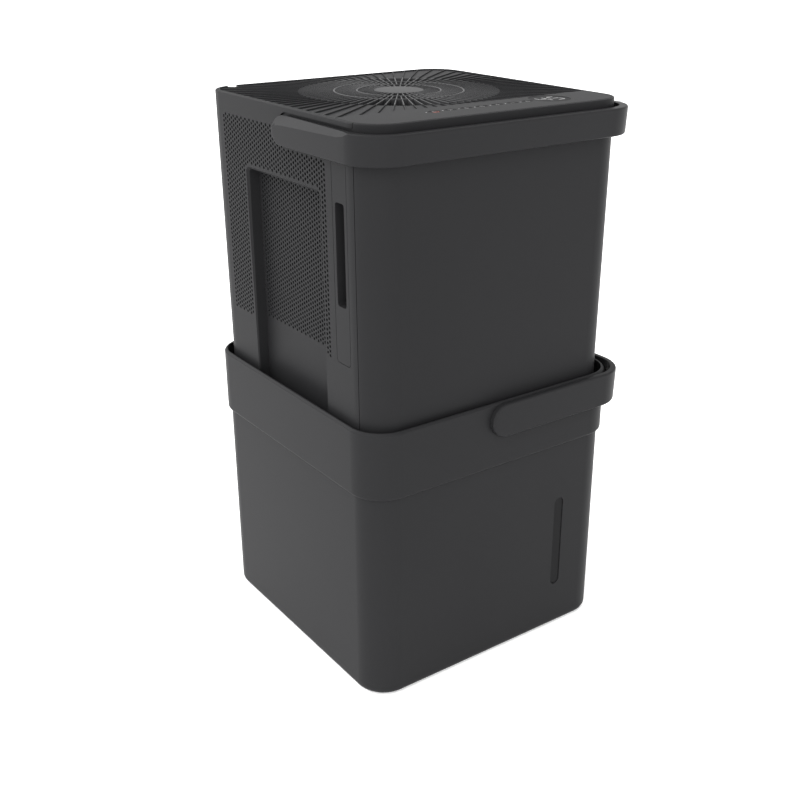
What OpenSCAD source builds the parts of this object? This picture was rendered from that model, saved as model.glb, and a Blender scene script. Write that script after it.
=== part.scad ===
/* Portable dehumidifier in two stacked halves.
   The head stands on two posts inside a square water bucket, whose collar holds it upright.
   +Z is up, the front faces -Y, and the origin is the centre of the bucket's underside. */

/* [Bucket] */
// Width of the bucket across its flat faces
bucket_w = 322; // [280:1:400]
// Height of the bucket's rim above the floor
bucket_h = 310; // [270:1:370]
// Radius of the bucket's upright corners
bucket_r = 34; // [28:1:44]
// Thickness of the bucket's wall and floor
bucket_wall = 2.6; // [2:0.1:3.4]
// Radius of the rounding under the bucket's walls
foot_r = 8; // [5:0.5:12]
// Height of the collar that holds the head
collar_h = 70; // [55:1:90]
// How far the collar stands out from the bucket's wall
collar_out = 4; // [3:0.5:6]
// Height of the water window
window_h = 112; // [80:1:130]
// Width of the water window
window_w = 12.5; // [10:0.5:16]
// Distance of the window from the bucket's middle
window_x = 90; // [80:1:95]

/* [Head] */
// Height of the head from its base to its top
head_h = 361; // [345:1:400]
// Gap between the head and the bucket's inner face when one stands inside the other
nest_gap = 0.9; // [0.6:0.1:3]
// How far the head's sides draw in from its top to its base
head_draft = 2.3; // [0:0.1:3]
// Radius of the rounding on the head's top edge
edge_r = 2.2; // [1:0.1:2.4]
// Thickness of the head's covers
skin = 2.5; // [2:0.1:3]
// Gap left at the seams between covers
seam = 0.5; // [0.4:0.1:0.8]
// Distance of the front and rear seams from the middle
seam_y = 131; // [126:1:134]

/* [Side recesses] */
// Width of the recess that passes a post when the halves are nested
recess_w = 145; // [130:1:150]
// Depth of the recess
recess_d = 14; // [12:0.5:15]
// Height of the recess above the head's base
recess_h = 289; // [275:1:291]
// Size of the bevel around the recess
recess_bevel = 3; // [2:0.5:4]

/* [Handles] */
// Height of the head handle's band
hh_band = 28; // [24:1:32]
// Thickness of the head handle's band
hh_t = 9; // [7:0.5:10]
// Gap between the head handle's bar and the front cover
hh_gap = 4.5; // [4:0.5:8]
// Distance of the head handle's pivot below the top
hh_drop = 21.5; // [20:0.5:24]
// Distance of the head handle's pivot in front of the middle
hh_fwd = 16; // [10:1:20]
// Height of the bucket handle's band
bh_band = 37; // [30:1:40]
// Thickness of the bucket handle's band
bh_t = 6.5; // [6:0.5:8]
// Gap between the bucket handle's bar and the collar
bh_gap = 6.5; // [5:0.5:9]
// Radius of the pivot studs on both handles
stud_r = 6; // [5:0.5:7]

/* [Outlet grille] */
// Radius of the bare hub disc
hub_r = 26; // [20:1:30]
// Radii of the two ring ribs
ring_r = [44, 68];
// Radius of the flared outlet at the top face
mouth_r = 104; // [98:1:106]
// Radius of the throat under the flare
throat_r = 93; // [86:1:96]
// Number of vanes
vanes = 72; // [48:12:84]
// Thickness of a vane
vane_t = 1.4; // [1:0.1:2]
// Height of a vane
vane_h = 9; // [6:0.5:12]
// Distance of the grille's centre behind the middle
fan_y = 20.5; // [12:0.5:23]

/* [Air filter] */
// Width of the filter's grip panel
grip_w = 24; // [20:0.5:24]
// Height of the grip panel
grip_h = 195; // [150:1:195]
// Thickness of the filter frame
filter_t = 8; // [6:0.5:9]
// How far the filter frame reaches across the head
filter_l = 268; // [220:1:270]

/* [Fan] */
// Radius of the fan rotor
rotor_r = 88; // [75:1:90]
// Number of blades
blades = 7; // [5:1:9]
// Angle of the blades off upright
blade_tilt = 52; // [35:1:60]
// Radius of the motor shaft
shaft_r = 4; // [3:0.5:5]

/* [Drain] */
// Outer radius of the drain spout
spout_r = 10; // [9:0.5:12]
// Depth of the round pocket that the spout ends in
spout_l = 20; // [16:0.5:24]
// Radius of that pocket
pocket_r = 24; // [20:0.5:28]

/* [Hidden] */
$fn = 64;
eps = 0.01;
fit = 0.3;                 // seat clearance between separate pieces
run = 0.06;                // running clearance of a shaft or stud

// bucket
bh = bucket_w / 2;                          // half width
collar_hw = bh + collar_out;
collar_z = bucket_h - collar_h;
collar_in = collar_hw - bucket_wall;        // collar's inner face
base_z = collar_z;                          // the head's underside
post_d = recess_d + 0.4;                    // posts reach in from the wall
post_w = recess_w - 13;
post_t = 2.5;
tank_in = bh - bucket_wall;                 // tank's inner face
guide_gap = 0.6;

// head
hw = tank_in - nest_gap;                    // half width
hr = bucket_r + 1;                          // corner radius
top_z = base_z + head_h;
head_in = hw - skin;
lip_z = top_z - 1;                          // top of the covers
function hw_at(z) = hw - head_draft * (top_z - z) / head_h;
cover_t = 4.5;                              // top cover's plate
recess_x = hw - recess_d;                   // face of the recess floor
recess_y = -3;                              // centre of the recess
recess_z = base_z + recess_h;

// handles
hh_z = top_z - hh_drop;
hh_y = -hh_fwd;
arm_gap = 0.5;
hh_x = hw + arm_gap + hh_t;                 // outer face of the arms
hh_front = hw + hh_gap + hh_t;              // outer face of the bar
hh_r = 40;                                  // outer corner radius
pocket_d = 2;
pocket_top = hh_z + hh_band / 2 + 2.5;
pocket_bot = hh_z - hh_band / 2 - 2.5;
bh_z = bucket_h - 19;
bh_arm_gap = 0.5;
bh_y = collar_hw + bh_arm_gap + bh_t;       // outer face of the arms
bh_x = collar_hw + bh_gap + bh_t;           // outer face of the bar
bh_r = 40;
clip_t = 1.2;
clip_r = stud_r + 3;

// filter
grip_y = -seam_y + 12 + grip_w / 2;
grip_top = hh_z - hh_band / 2 - 2.5;
grip_z = grip_top - grip_h;
slot_w = 15;
slot_h = 100;
slot_z = grip_z + 58;
slot_d = 12;
filter_y = grip_y + 1;
filter_x0 = -hw + skin + slot_d;
filter_z0 = grip_z + 4;
filter_z1 = grip_top - 4;
guide_t = 2.1;

// cooling circuit
coil_z0 = base_z + 105;
coil_z1 = coil_z0 + 152;
frame_x = recess_x - 11.5;
coil_x = frame_x - 5;
frame_y0 = filter_y + filter_t / 2 + fit + guide_t;
evap_y = frame_y0 + 13.5;
cond_y = evap_y + 28;
frame_y1 = cond_y + 14;
coil_t = 22;
tray_z = coil_z0 - 13;
deck_z = recess_z + skin;
deck_t = 2.5;
motor_r = 38;
motor_h = 40;
motor_top = deck_z - 5.5;
comp_x = 56;
comp_y = 70;
comp_r = 50;
comp_z = base_z + 17;
comp_h = 178;
acc_x = -14;
acc_y = 92;
acc_r = 20;
acc_top = comp_z + 160;
pipe_r = 3;
bend_r = 8;
suction_z = acc_top + 2 + bend_r;
suction_x = -(frame_x + (recess_x - skin - frame_x) / 2);
discharge_z = comp_z + comp_h + 24 + bend_r;
spout_x = -62;
spout_z = tray_z + 1;
spout_face = hw_at(spout_z);                // rear face there
spout_y = spout_face - spout_l + 0.2;       // foot of the spout in its pocket
tube_r = spout_r - 1.5;
bore_r = spout_r - 3;
bung_t = 3;
gland_x = -100;
gland_z = top_z - 35;
lap_t = 1.5;                                // lip behind the side panels
pan_t = 3;
pan_rim = 14;
screw_at = hw - 22;
float_x = 90;
float_y = -70;
float_r = 21;
float_travel = 8;
lens_x = 84;
lens_y = -120;
lens_r = 21;

// ---------- shared outlines ----------

// Square with rounded corners, hw from middle to face
module rounded_square(hw, r) {
    square([2 * hw, 2 * (hw - r)], center = true);
    square([2 * (hw - r), 2 * hw], center = true);
    for (x = [-1, 1], y = [-1, 1])
        translate([x * (hw - r), y * (hw - r)]) circle(r);
}

module block(hw, r, z0, z1) {
    translate([0, 0, z0]) linear_extrude(z1 - z0) rounded_square(hw, r);
}

// Slab between two values of y
module slab_y(y0, y1, reach = 400) {
    translate([-reach, y0, -eps]) cube([2 * reach, y1 - y0, 2 * reach]);
}

// Profile of [distance outside the face, height], carried round a rounded square
module swept_wall(hw, r, profile) {
    for (i = [0:3]) rotate(90 * i) {
        translate([hw, hw - r, 0])
            rotate([90, 0, 0]) linear_extrude(2 * (hw - r)) polygon(profile);
        translate([hw - r, hw - r, 0])
            rotate_extrude(angle = 90) translate([r, 0]) polygon(profile);
    }
}

// Points of an arc about c, from angle a0 to a1
function arc(c, r, a0, a1, n = 6) = [for (i = [0:n]) c + r * [cos(a0 + (a1 - a0) * i / n), sin(a0 + (a1 - a0) * i / n)]];

module pill(w, h) {
    square([w, h - w], center = true);
    for (s = [-1, 1]) translate([0, s * (h - w) / 2]) circle(w / 2);
}

module rounded_rect(w, h, r) {
    square([w, h - 2 * r], center = true);
    square([w - 2 * r, h], center = true);
    for (x = [-1, 1], y = [-1, 1])
        translate([x * (w / 2 - r), y * (h / 2 - r)]) circle(r);
}

// ---------- bucket ----------

bucket_profile = concat(
    arc([-foot_r, foot_r], foot_r, -90, 0),
    [[0, collar_z - collar_out], [collar_out, collar_z]],
    arc([collar_out - bucket_wall / 2, bucket_h - bucket_wall / 2], bucket_wall / 2, 0, 180),
    [[collar_out - bucket_wall, collar_z + 1], [-bucket_wall, collar_z - collar_out + 1]],
    arc([-foot_r, foot_r], foot_r - bucket_wall, 0, -90)
);

// Upright rib that centres the head in the collar
module guide_rib() {
    translate([collar_in + eps * 40, 1.25, 0]) rotate([90, 0, 0]) linear_extrude(2.5)
        polygon([[0, bucket_h - 4], [hw + guide_gap - collar_in + 1.5, bucket_h - 10],
            [hw + guide_gap - collar_in, bucket_h - 12], [hw + guide_gap - collar_in, collar_z + 18],
            [0, collar_z + 12]]);
}

module window_at(y0, t) {
    translate([window_x, y0, bucket_h * 0.362])
        rotate([90, 0, 0]) linear_extrude(t) children();
}

module bucket_shell() {
    color("#404042") difference() {
        union() {
            swept_wall(bh, bucket_r, bucket_profile);
            block(bh - foot_r, bucket_r - foot_r, 0, bucket_wall);
            for (i = [0:3], s = [-1, 1])
                rotate(90 * i) translate([0, s * (collar_hw - 47), 0]) guide_rib();
            // bosses behind the handle's stud holes
            for (s = [-1, 1])
                translate([0, s * (collar_in + 0.5), bh_z]) rotate([s * 90, 0, 0])
                    cylinder(r = stud_r + 3, h = 2.5);
        }
        for (s = [-1, 1])
            translate([0, s * (collar_hw + 1), bh_z]) rotate([s * 90, 0, 0])
                cylinder(r = stud_r + run, h = 12);
        window_at(-bh + bucket_wall + 1, bucket_wall + 2) pill(window_w + 2 * 0.2, window_h + 2 * 0.2);
    }
}

// Hollow pillar that carries one wall of the head
module post() {
    x = post_w / 2;
    difference() {
        translate([-x, tank_in - post_d, bucket_wall]) cube([post_w, post_d - 0.2, base_z - bucket_wall]);
        translate([-x + post_t, tank_in - post_d + post_t, bucket_wall - 1])
            cube([post_w - 2 * post_t, post_d, base_z - bucket_wall - post_t + 1]);
        translate([-x - 1, tank_in - post_d - 1, base_z - 60]) rotate([0, 0, 0])
            linear_extrude(70) polygon([[0, 0], [9, 0], [0, 9]]);
        translate([x + 1, tank_in - post_d - 1, base_z - 60])
            linear_extrude(70) polygon([[0, 0], [-9, 0], [0, 9]]);
        foot_relief();
    }
    // ribs across the hollow
    for (k = [-1, 1]) difference() {
        translate([k * post_w / 6 - 1, tank_in - post_d + post_t - eps, bucket_wall])
            cube([2, post_d - post_t - 0.4, base_z - bucket_wall - post_t + eps]);
        foot_relief();
    }
}

// Clears the rounding between the tank's floor and wall
module foot_relief() {
    y = tank_in + 1;
    translate([-post_w, 0, 0]) rotate([90, 0, 90]) linear_extrude(2 * post_w)
        polygon([[y - foot_r, bucket_wall - 1], [y, bucket_wall - 1], [y, bucket_wall + foot_r - 1]]);
}

module front_post() {
    color("#3c3c3e") mirror([0, 1, 0]) post();
}

module rear_post() {
    color("#3c3c3e") post();
}

module water_window() {
    color("#56585a", 0.85) {
        window_at(-bh + bucket_wall - 0.1, bucket_wall - 0.6) pill(window_w, window_h);
        window_at(-bh + bucket_wall + 1.5, 1.5) pill(window_w + 8, window_h + 8);
    }
}

// ---------- bail handles ----------

// Band of a bail that leaves x = 0 at both sides and turns round +X; y_out and x_out are its outer faces
module bail_band(x_out, y_out, r, t_arm, t_bar, y_scale = 1) {
    difference() {
        translate([0, -y_out]) square([x_out - r, 2 * y_out]);
        translate([-1, -y_out + t_arm]) square([x_out - r + 2, 2 * (y_out - t_arm)]);
    }
    translate([x_out - t_bar, -y_out + r]) square([t_bar, 2 * (y_out - r)]);
    for (s = [-1, 1]) translate([x_out - r, s * (y_out - r)]) difference() {
        circle(r);
        circle(r - min(t_arm, t_bar));
        translate([-2 * r, -r - 1]) square([2 * r, 2 * r + 2]);
        translate([-1, s > 0 ? -2 * r : 0]) square([2 * r, 2 * r]);
    }
}

// Bail: the band with round ends about the pivot, and a stud on each arm that points inward
module bail(x_out, y_out, r, t_arm, t_bar, band, z, stud_l) {
    rad = band / 2;
    translate([0, 0, z - rad]) linear_extrude(band) bail_band(x_out, y_out, r, t_arm, t_bar);
    for (s = [-1, 1]) {
        translate([0, s * y_out, z]) rotate([s * 90, 0, 0]) cylinder(r = rad, h = t_arm);
        translate([0, s * (y_out - t_arm + 1), z]) rotate([s * 90, 0, 0])
            cylinder(r = stud_r, h = stud_l + 1);
    }
}

module stud_clips(y_in, z) {
    for (s = [-1, 1]) translate([0, s * y_in, z]) rotate([-s * 90, 0, 0]) difference() {
        cylinder(r = clip_r, h = clip_t);
        translate([0, 0, -1]) cylinder(r = stud_r, h = clip_t + 2);
    }
}

bh_clip_y = collar_in - 2 - 0.2 - clip_t;

module bucket_handle() {
    color("#424244")
        bail(bh_x, bh_y, bh_r, bh_t, bh_t, bh_band, bh_z, bh_y - bh_t - bh_clip_y);
}

module bucket_handle_clips() {
    color("#9a9a9c") stud_clips(bh_clip_y, bh_z);
}

// The head handle turns round the front, so the bail is turned to face -Y
module toward_front() {
    translate([0, hh_y, 0]) rotate(-90) children();
}

hh_clip_x = hw - pocket_d - skin - 2.2 - clip_t;

// Long bevel on the outer top edge of the +X arm: a plane that runs out towards the bar
module arm_bevel() {
    wide = 7;                               // on top, at the pivot
    fine = 4.1;                             // on top, at the front end
    steep = 1.2;                            // fall per unit outward
    run_l = seam_y - hh_fwd;
    n = [steep, steep * (wide - fine) / run_l, 1];
    intersection() {
        translate([hh_x - wide, hh_y, hh_z + hh_band / 2])
            rotate([0, acos(n[2] / norm(n)), atan2(n[1], n[0])])
                translate([-300, -300, 0]) cube([600, 600, 30]);
        translate([hw - 20, -seam_y + 4, hh_z + hh_band / 2 - 5]) rotate([62, 0, 0])
            translate([0, 0, -200]) cube([80, 200, 400]);
    }
}

module head_handle() {
    bar = hh_front + hh_y;
    color("#444446") difference() {
        toward_front() bail(bar, hh_x, hh_r, hh_t, hh_t, hh_band, hh_z, hh_x - hh_t - hh_clip_x);
        arm_bevel();
        mirror([1, 0, 0]) arm_bevel();
    }
}

module head_handle_clips() {
    color("#9a9a9c") toward_front() stud_clips(hh_clip_x, hh_z);
}

// ---------- head covers ----------

// Points up the outer face between two heights, e inside it, with a rounded top edge
function face_points(z0, z1, e, edge) = concat(
    [[hw_at(z0) - hw - e, z0]],
    edge > 0 ? arc([hw_at(z1 - edge) - hw - e - edge, z1 - edge], edge, 0, 90) : [[hw_at(z1) - hw - e, z1]]);

// Wall of the head between two heights, t thick and e inside its outer face
module head_wall(z0, z1, e = 0, t = skin, edge = 0) {
    swept_wall(hw, hr, concat([[hw_at(z0) - hw - e - t, z0]], face_points(z0, z1, e, edge),
        [[hw_at(z1) - hw - e - t, z1]]));
}

// The whole form of the head between two heights
module head_form(z0, z1, e = 0, edge = 0) {
    swept_wall(hw, hr, concat([[-25, z0]], face_points(z0, z1, e, edge), [[-25, z1]]));
    block(hw - 20, hr - 20, z0, z1);
}

// U-shaped end cover with a lap that lies behind the side panels
module end_cover() {
    lap_z = pocket_bot - skin - 2;
    intersection() {
        head_wall(base_z, lip_z, edge = edge_r);
        slab_y(seam_y, 200);
    }
    intersection() {
        head_wall(base_z + pan_rim + 1, lap_z, skin + 0.2, lap_t);
        slab_y(seam_y - 7, seam_y + 3);
    }
    intersection() {
        head_wall(base_z + pan_rim + 1, lap_z, skin - eps, lap_t + 0.2);
        slab_y(seam_y + 1, seam_y + 3);
    }
    // posts for the screws that come up through the base pan
    for (s = [-1, 1]) difference() {
        intersection() {
            translate([s * screw_at, screw_at, base_z + pan_t]) {
                cylinder(r = 6, h = 28);
                rotate(s > 0 ? 45 : 135) translate([4, -1.2, pan_rim]) cube([16, 2.4, 28 - pan_rim]);
            }
            head_form(base_z - 1, base_z + 60, 1);
        }
        translate([s * screw_at, screw_at, base_z]) cylinder(r = 2, h = 20);
    }
}

module front_cover() {
    color("#3c3c3d") mirror([0, 1, 0]) end_cover();
}

module rear_cover() {
    color("#3c3c3d") difference() {
        union() {
            end_cover();
            // wall of the drain pocket
            intersection() {
                translate([spout_x, spout_face - spout_l - skin, spout_z]) rotate([-90, 0, 0])
                    cylinder(r = pocket_r + skin, h = spout_l + 10);
                head_form(base_z, lip_z);
            }
        }
        // notch in the rear lip, beside the corner
        translate([-132, hw - 6, lip_z - 2.5]) cube([13, 12, 5]);
        translate([spout_x, spout_face - spout_l, spout_z]) rotate([-90, 0, 0])
            cylinder(r = pocket_r, h = spout_l + 10);
        translate([spout_x, spout_face + 5, spout_z]) rotate([90, 0, 0])
            cylinder(r = tube_r + fit, h = spout_l + 20);
        translate([gland_x, hw + 5, gland_z]) rotate([90, 0, 0]) cylinder(r = 8 + 0.1, h = 15);
    }
}

// Space of one recess, grown by e on every side
module recess_space(e) {
    y0 = recess_y - recess_w / 2 - e;
    y1 = recess_y + recess_w / 2 + e;
    b = recess_bevel;
    x1 = hw + 10;
    intersection() {
        translate([0, 0, base_z - 10]) linear_extrude(recess_h + 40)
            polygon([[recess_x - e, y0], [hw - b, y0], [hw + 10 - e, y0 - b - 10 + e],
                [x1, y1 + b + 10 - e], [hw - b, y1], [recess_x - e, y1]]);
        translate([0, 300, 0]) rotate([90, 0, 0]) linear_extrude(600)
            polygon([[recess_x - e, base_z - 20], [recess_x - e, recess_z + e], [hw - b, recess_z + e],
                [hw + 10 - e, recess_z + b + 10], [x1, base_z - 20]]);
    }
}

// Shallow pocket behind one arm of the head handle, grown by e
module pocket_space(e) {
    x0 = hw - pocket_d - e;
    z0 = pocket_bot - e;
    z1 = pocket_top + e;
    r = (z1 - z0) / 2;
    translate([x0, 0, 0]) {
        translate([0, -seam_y - 2, z0]) cube([20, seam_y + 2 + hh_y, z1 - z0]);
        translate([0, hh_y, (z0 + z1) / 2]) rotate([0, 90, 0]) cylinder(r = r, h = 20);
    }
}

// Side panel on the +X side, without openings
module side_shell() {
    y = seam_y - seam;
    difference() {
        intersection() {
            head_form(base_z, lip_z, 0, edge_r);
            translate([0, -y, base_z - 1]) cube([hw + 1, 2 * y, head_h + 2]);
        }
        difference() {
            head_form(base_z - 1, lip_z + 1, skin);
            recess_space(skin);
            pocket_space(skin);
        }
        translate([0, -200, base_z - 2]) cube([120, 400, head_h + 4]);
        recess_space(0);
        pocket_space(0);
        translate([hw - 20, hh_y, hh_z]) rotate([0, 90, 0]) cylinder(r = stud_r + run, h = 30);
    }
    // boss behind the stud hole
    translate([hw - pocket_d - skin - 2, hh_y, hh_z]) rotate([0, 90, 0]) difference() {
        cylinder(r = stud_r + 4, h = 2.5);
        translate([0, 0, -1]) cylinder(r = stud_r + run, h = 5);
    }
}

perf_pitch = 11;
perf_r = 3.4;
perf_y0 = -90;
perf_y1 = 118;
perf_z0 = grip_z;
perf_z1 = top_z - 18;

// Open bands of the perforated field: y from, y to, z from, z to
perf_bands = [
    [recess_y + recess_w / 2 + recess_bevel + 1, perf_y1, perf_z0, perf_z1],
    [perf_y0, recess_y - recess_w / 2 - recess_bevel - 1, perf_z0, grip_top],
    [perf_y0, hh_y + 26, recess_z + recess_bevel + skin + 1, grip_top],
    [hh_y + 26, recess_y + recess_w / 2 + recess_bevel + 1, recess_z + recess_bevel + skin + 1, perf_z1],
    [recess_y - recess_w / 2 + 1, recess_y + recess_w / 2 - 1, perf_z0, recess_z - skin]
];

function in_band(y, z, b) = y - perf_r > b[0] && y + perf_r < b[1] && z - perf_r > b[2] && z + perf_r < b[3];

module perforations() {
    dy = perf_pitch * sqrt(3) / 2;
    cols = floor((perf_y1 - perf_y0) / dy);
    rows = floor((perf_z1 - perf_z0) / perf_pitch);
    for (i = [0:cols], j = [0:rows]) {
        y = perf_y0 + 4 + i * dy;
        z = perf_z0 + 4 + (j + (i % 2) / 2) * perf_pitch;
        if (len([for (b = perf_bands) if (in_band(y, z, b)) 1]) > 0)
            translate([z, y]) circle(perf_r, $fn = 6);
    }
}

module left_side_panel() {
    color("#505051") difference() {
        mirror([1, 0, 0]) side_shell();
        translate([-recess_x + 8, 0, 0]) rotate([0, -90, 0]) linear_extrude(40) perforations();
        translate([-hw - 10, grip_y - grip_w / 2 - seam, grip_z - seam])
            cube([30, grip_w + 2 * seam, grip_h + 2 * seam]);
    }
}

module right_side_panel() {
    color("#3a3a3b") side_shell();
}

// Inside outline of the head where the recesses pass, drawn in by gap
module floor_plan(gap) {
    x = hw_at(base_z) - skin - gap;
    rx = recess_x - skin - gap;
    difference() {
        rounded_square(x, hr - skin - head_draft - gap);
        for (s = [-1, 1])
            translate([s * (rx + 20), recess_y]) square([40, recess_w + 2 * (skin + gap)], center = true);
    }
}

module base_pan() {
    color("#2e2e30") difference() {
        union() {
            translate([0, 0, base_z]) linear_extrude(pan_t) floor_plan(fit);
            translate([0, 0, base_z]) linear_extrude(pan_rim) difference() {
                floor_plan(fit);
                floor_plan(fit + 2);
            }
            // float well
            translate([float_x, float_y, base_z]) cylinder(r = float_r + 5, h = 30);
            // seats under the compressor's feet
            for (a = [90, 210, 330])
                translate([comp_x, comp_y, base_z]) rotate(a) translate([comp_r + 8, 0, 0])
                    cylinder(r = 9, h = 8);
        }
        translate([float_x, float_y, base_z - 1]) cylinder(r = float_r + 2.5, h = 28);
        translate([float_x, float_y, base_z]) cylinder(r = 4 + run, h = 40);
        for (a = [90, 210, 330])
            translate([comp_x, comp_y, base_z - 1]) rotate(a) translate([comp_r + 8, 0, 0])
                cylinder(r = 3 + run, h = 12);
        for (p = screw_points) translate([p[0], p[1], base_z - 1]) {
            cylinder(r = 2.2, h = 30);
            cylinder(r = 4.5, h = 2.2);
        }
        // drip outlets into the bucket
        for (i = [-2:2]) translate([i * 16, -60, base_z - 1]) cylinder(r = 4, h = 10);
    }
}

screw_points = [for (x = [-1, 1], y = [-1, 1]) [x * screw_at, y * screw_at]];

module casing_screws() {
    color("#8c8c8e") for (p = screw_points) translate([p[0], p[1], base_z + 0.1]) {
        cylinder(r = 4.2, h = 1.1);
        cylinder(r = 1.95, h = 15);
    }
}

// ---------- top cover and outlet grille ----------

module vane_plan() {
    for (i = [0:vanes - 1]) rotate(360 / vanes * (i + 0.5)) {
        inner = i % 2 == 0 ? hub_r - 2 : ring_r[0];
        translate([inner, -vane_t / 2]) square([230, vane_t]);
    }
}

// Outline that the flutes on the top face run out to
module flute_field() {
    x = hw - 5.5;
    difference() {
        intersection() {
            rounded_square(x, hr - 5.5);
            translate([-x, -98]) square([2 * x, 98 + x]);
        }
    }
}

module top_cover() {
    flute = 2;
    under = top_z - cover_t;
    color("#5c5c5e") {
        // plate with shallow flutes between the ribs that carry on from the vanes
        difference() {
            block(head_in - fit, hr - skin - fit, under, top_z);
            translate([0, fan_y, under - 1]) cylinder(r = mouth_r, h = cover_t + 2);
            translate([0, 0, top_z - flute]) linear_extrude(flute + 1) difference() {
                flute_field();
                translate([0, fan_y]) circle(mouth_r + 2);
                translate([0, fan_y]) vane_plan();
            }
            translate([lens_x, lens_y, top_z - 1.2]) cylinder(r = lens_r + 0.15, h = 3);
            pocket_space(skin + fit);
            mirror([1, 0, 0]) pocket_space(skin + fit);
        }
        // flare from the mouth to the throat
        translate([0, fan_y, 0]) rotate_extrude()
            polygon([[mouth_r + eps, top_z], [throat_r, top_z - vane_h - 1], [throat_r, top_z - vane_h - 3],
                [throat_r + 2, top_z - vane_h - 3], [mouth_r + 2, top_z - cover_t + eps],
                [mouth_r + 2, top_z - eps * 40]]);
        // vanes, rings and hub
        translate([0, fan_y, top_z - vane_h]) intersection() {
            linear_extrude(vane_h) {
                intersection() {
                    vane_plan();
                    circle(mouth_r + 1);
                }
                for (r = ring_r) difference() {
                    circle(r + 0.7);
                    circle(r - 0.7);
                }
                circle(hub_r);
            }
            rotate_extrude()
                polygon([[0, -1], [throat_r + 0.5, -1], [throat_r + 0.5, 0], [mouth_r + 1, vane_h], [0, vane_h]]);
        }
        // pegs that hold the display board
        for (x = [-70, 62], y = [-144, -108]) translate([x, y, top_z - cover_t - 8]) cylinder(r = 3, h = 8.5);
    }
}

module display_lens() {
    color("#4a4a4c") translate([lens_x, lens_y, top_z - 1.2]) cylinder(r = lens_r, h = 1.1);
}

module display_board() {
    color("#27502f") translate([-78, -150, top_z - cover_t - 9.8]) cube([182, 48, 1.6]);
    color("#1d1d1f") translate([lens_x - 16, lens_y - 8, top_z - cover_t - 8.2]) cube([32, 16, 6]);
    color("#1d1d1f") for (i = [0:6])
        translate([-58 + i * 16.5, lens_y, top_z - cover_t - 8.2]) cylinder(r = 5, h = 5);
}

// ---------- air filter ----------

module filter_frame() {
    panel_x = -hw;
    color("#505051") {
        // grip panel with its finger slot
        difference() {
            union() {
                intersection() {
                    head_wall(grip_z, grip_top);
                    translate([panel_x - 1, grip_y - grip_w / 2, grip_z]) cube([30, grip_w, grip_h]);
                }
                translate([panel_x + skin, grip_y - slot_w / 2 - 1.5, slot_z - 1.5])
                    cube([slot_d, slot_w + 3, slot_h + 3]);
            }
            translate([panel_x - 1, grip_y, slot_z + slot_h / 2]) rotate([90, 0, 90])
                linear_extrude(slot_d + 1) rounded_rect(slot_w, slot_h, 3);
        }
        // ties from the panel to the frame
        for (z = [filter_z0, filter_z1 - 12])
            translate([panel_x + skin - eps, filter_y - filter_t / 2, z]) cube([slot_d + 2 * eps, filter_t, 12]);
        // frame with two cross bars
        translate([filter_x0, filter_y + filter_t / 2, 0]) rotate([90, 0, 0]) linear_extrude(filter_t)
            difference() {
                translate([0, filter_z0]) square([filter_l, filter_z1 - filter_z0]);
                for (i = [0:2])
                    translate([8 + i * (filter_l - 10) / 3, filter_z0 + 8])
                        square([(filter_l - 10) / 3 - 6, filter_z1 - filter_z0 - 16]);
            }
    }
}

module filter_mesh() {
    color("#bfc4c6") for (i = [0:2])
        translate([filter_x0 + 8 + i * (filter_l - 10) / 3 + 0.1, filter_y - 0.4, filter_z0 + 8.1])
            cube([(filter_l - 10) / 3 - 6.2, 0.8, filter_z1 - filter_z0 - 16.2]);
}

// Runners over and under the filter, joined by an end stop
module filter_guide() {
    y0 = filter_y - filter_t / 2 - fit - guide_t;
    w = filter_t + 2 * fit + 2 * guide_t;
    x0 = filter_x0 + 4;
    x1 = filter_x0 + filter_l + fit;
    color("#333335") {
        for (m = [0, 1])
            translate([0, 0, m ? filter_z1 + filter_z0 : 0]) mirror([0, 0, m]) difference() {
                translate([x0, y0, filter_z0 - fit - guide_t]) cube([x1 - x0 + guide_t, w, guide_t + 6]);
                translate([x0 - 1, y0 + guide_t, filter_z0 - fit]) cube([x1 - x0 + 1, filter_t + 2 * fit, 10]);
            }
        translate([x1, y0, filter_z0]) cube([guide_t, w, filter_z1 - filter_z0]);
    }
}

// ---------- cooling circuit ----------

module coil_frame() {
    z0 = coil_z0 - 2.6;
    z1 = coil_z1 + 5;
    color("#37373a") difference() {
        translate([-frame_x, frame_y0, z0]) cube([2 * frame_x, frame_y1 - frame_y0, z1 - z0]);
        translate([-frame_x + 2.5, frame_y0 - 1, z0 - 1])
            cube([2 * frame_x - 5, frame_y1 - frame_y0 + 2, z1 - z0 - 1.5]);
        translate([-frame_x - 1, evap_y, suction_z]) rotate([0, 90, 0]) cylinder(r = pipe_r + 2, h = 5);
    }
    // bulkhead between the frame and the fan deck
    color("#37373a") translate([-frame_x, frame_y0, z1 - eps]) cube([2 * frame_x, 2.5, deck_z - z1 + eps]);
}

// Fin pack: upright fins on a core, with return bends of the tube at both ends
module finned_coil(y) {
    pitch = 5.5;
    core = 9;
    half = coil_x - 13;
    n = floor(2 * half / pitch);
    translate([0, y, coil_z0]) linear_extrude(coil_z1 - coil_z0) {
        square([2 * half, core], center = true);
        for (i = [0:n - 1])
            translate([-half + (i + 0.5) * 2 * half / n, 0]) square([1.6, coil_t], center = true);
    }
}

module return_bends(y) {
    tube = 4;
    rows = 6;
    step = (coil_z1 - coil_z0) / rows;
    for (s = [-1, 1], i = [0:rows / 2 - (s > 0 ? 1 : 2)])
        translate([s * (coil_x - 13), y, coil_z0 + step * (2 * i + (s > 0 ? 1 : 2))])
            rotate([90, 0, s > 0 ? 0 : 180]) rotate([0, 0, -90]) rotate_extrude(angle = 180)
                translate([step / 2 * 0.42, 0]) circle(tube);
}

module evaporator() {
    color("#b9bdc0") finned_coil(evap_y);
    color("#b46a3c") return_bends(evap_y);
}

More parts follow.
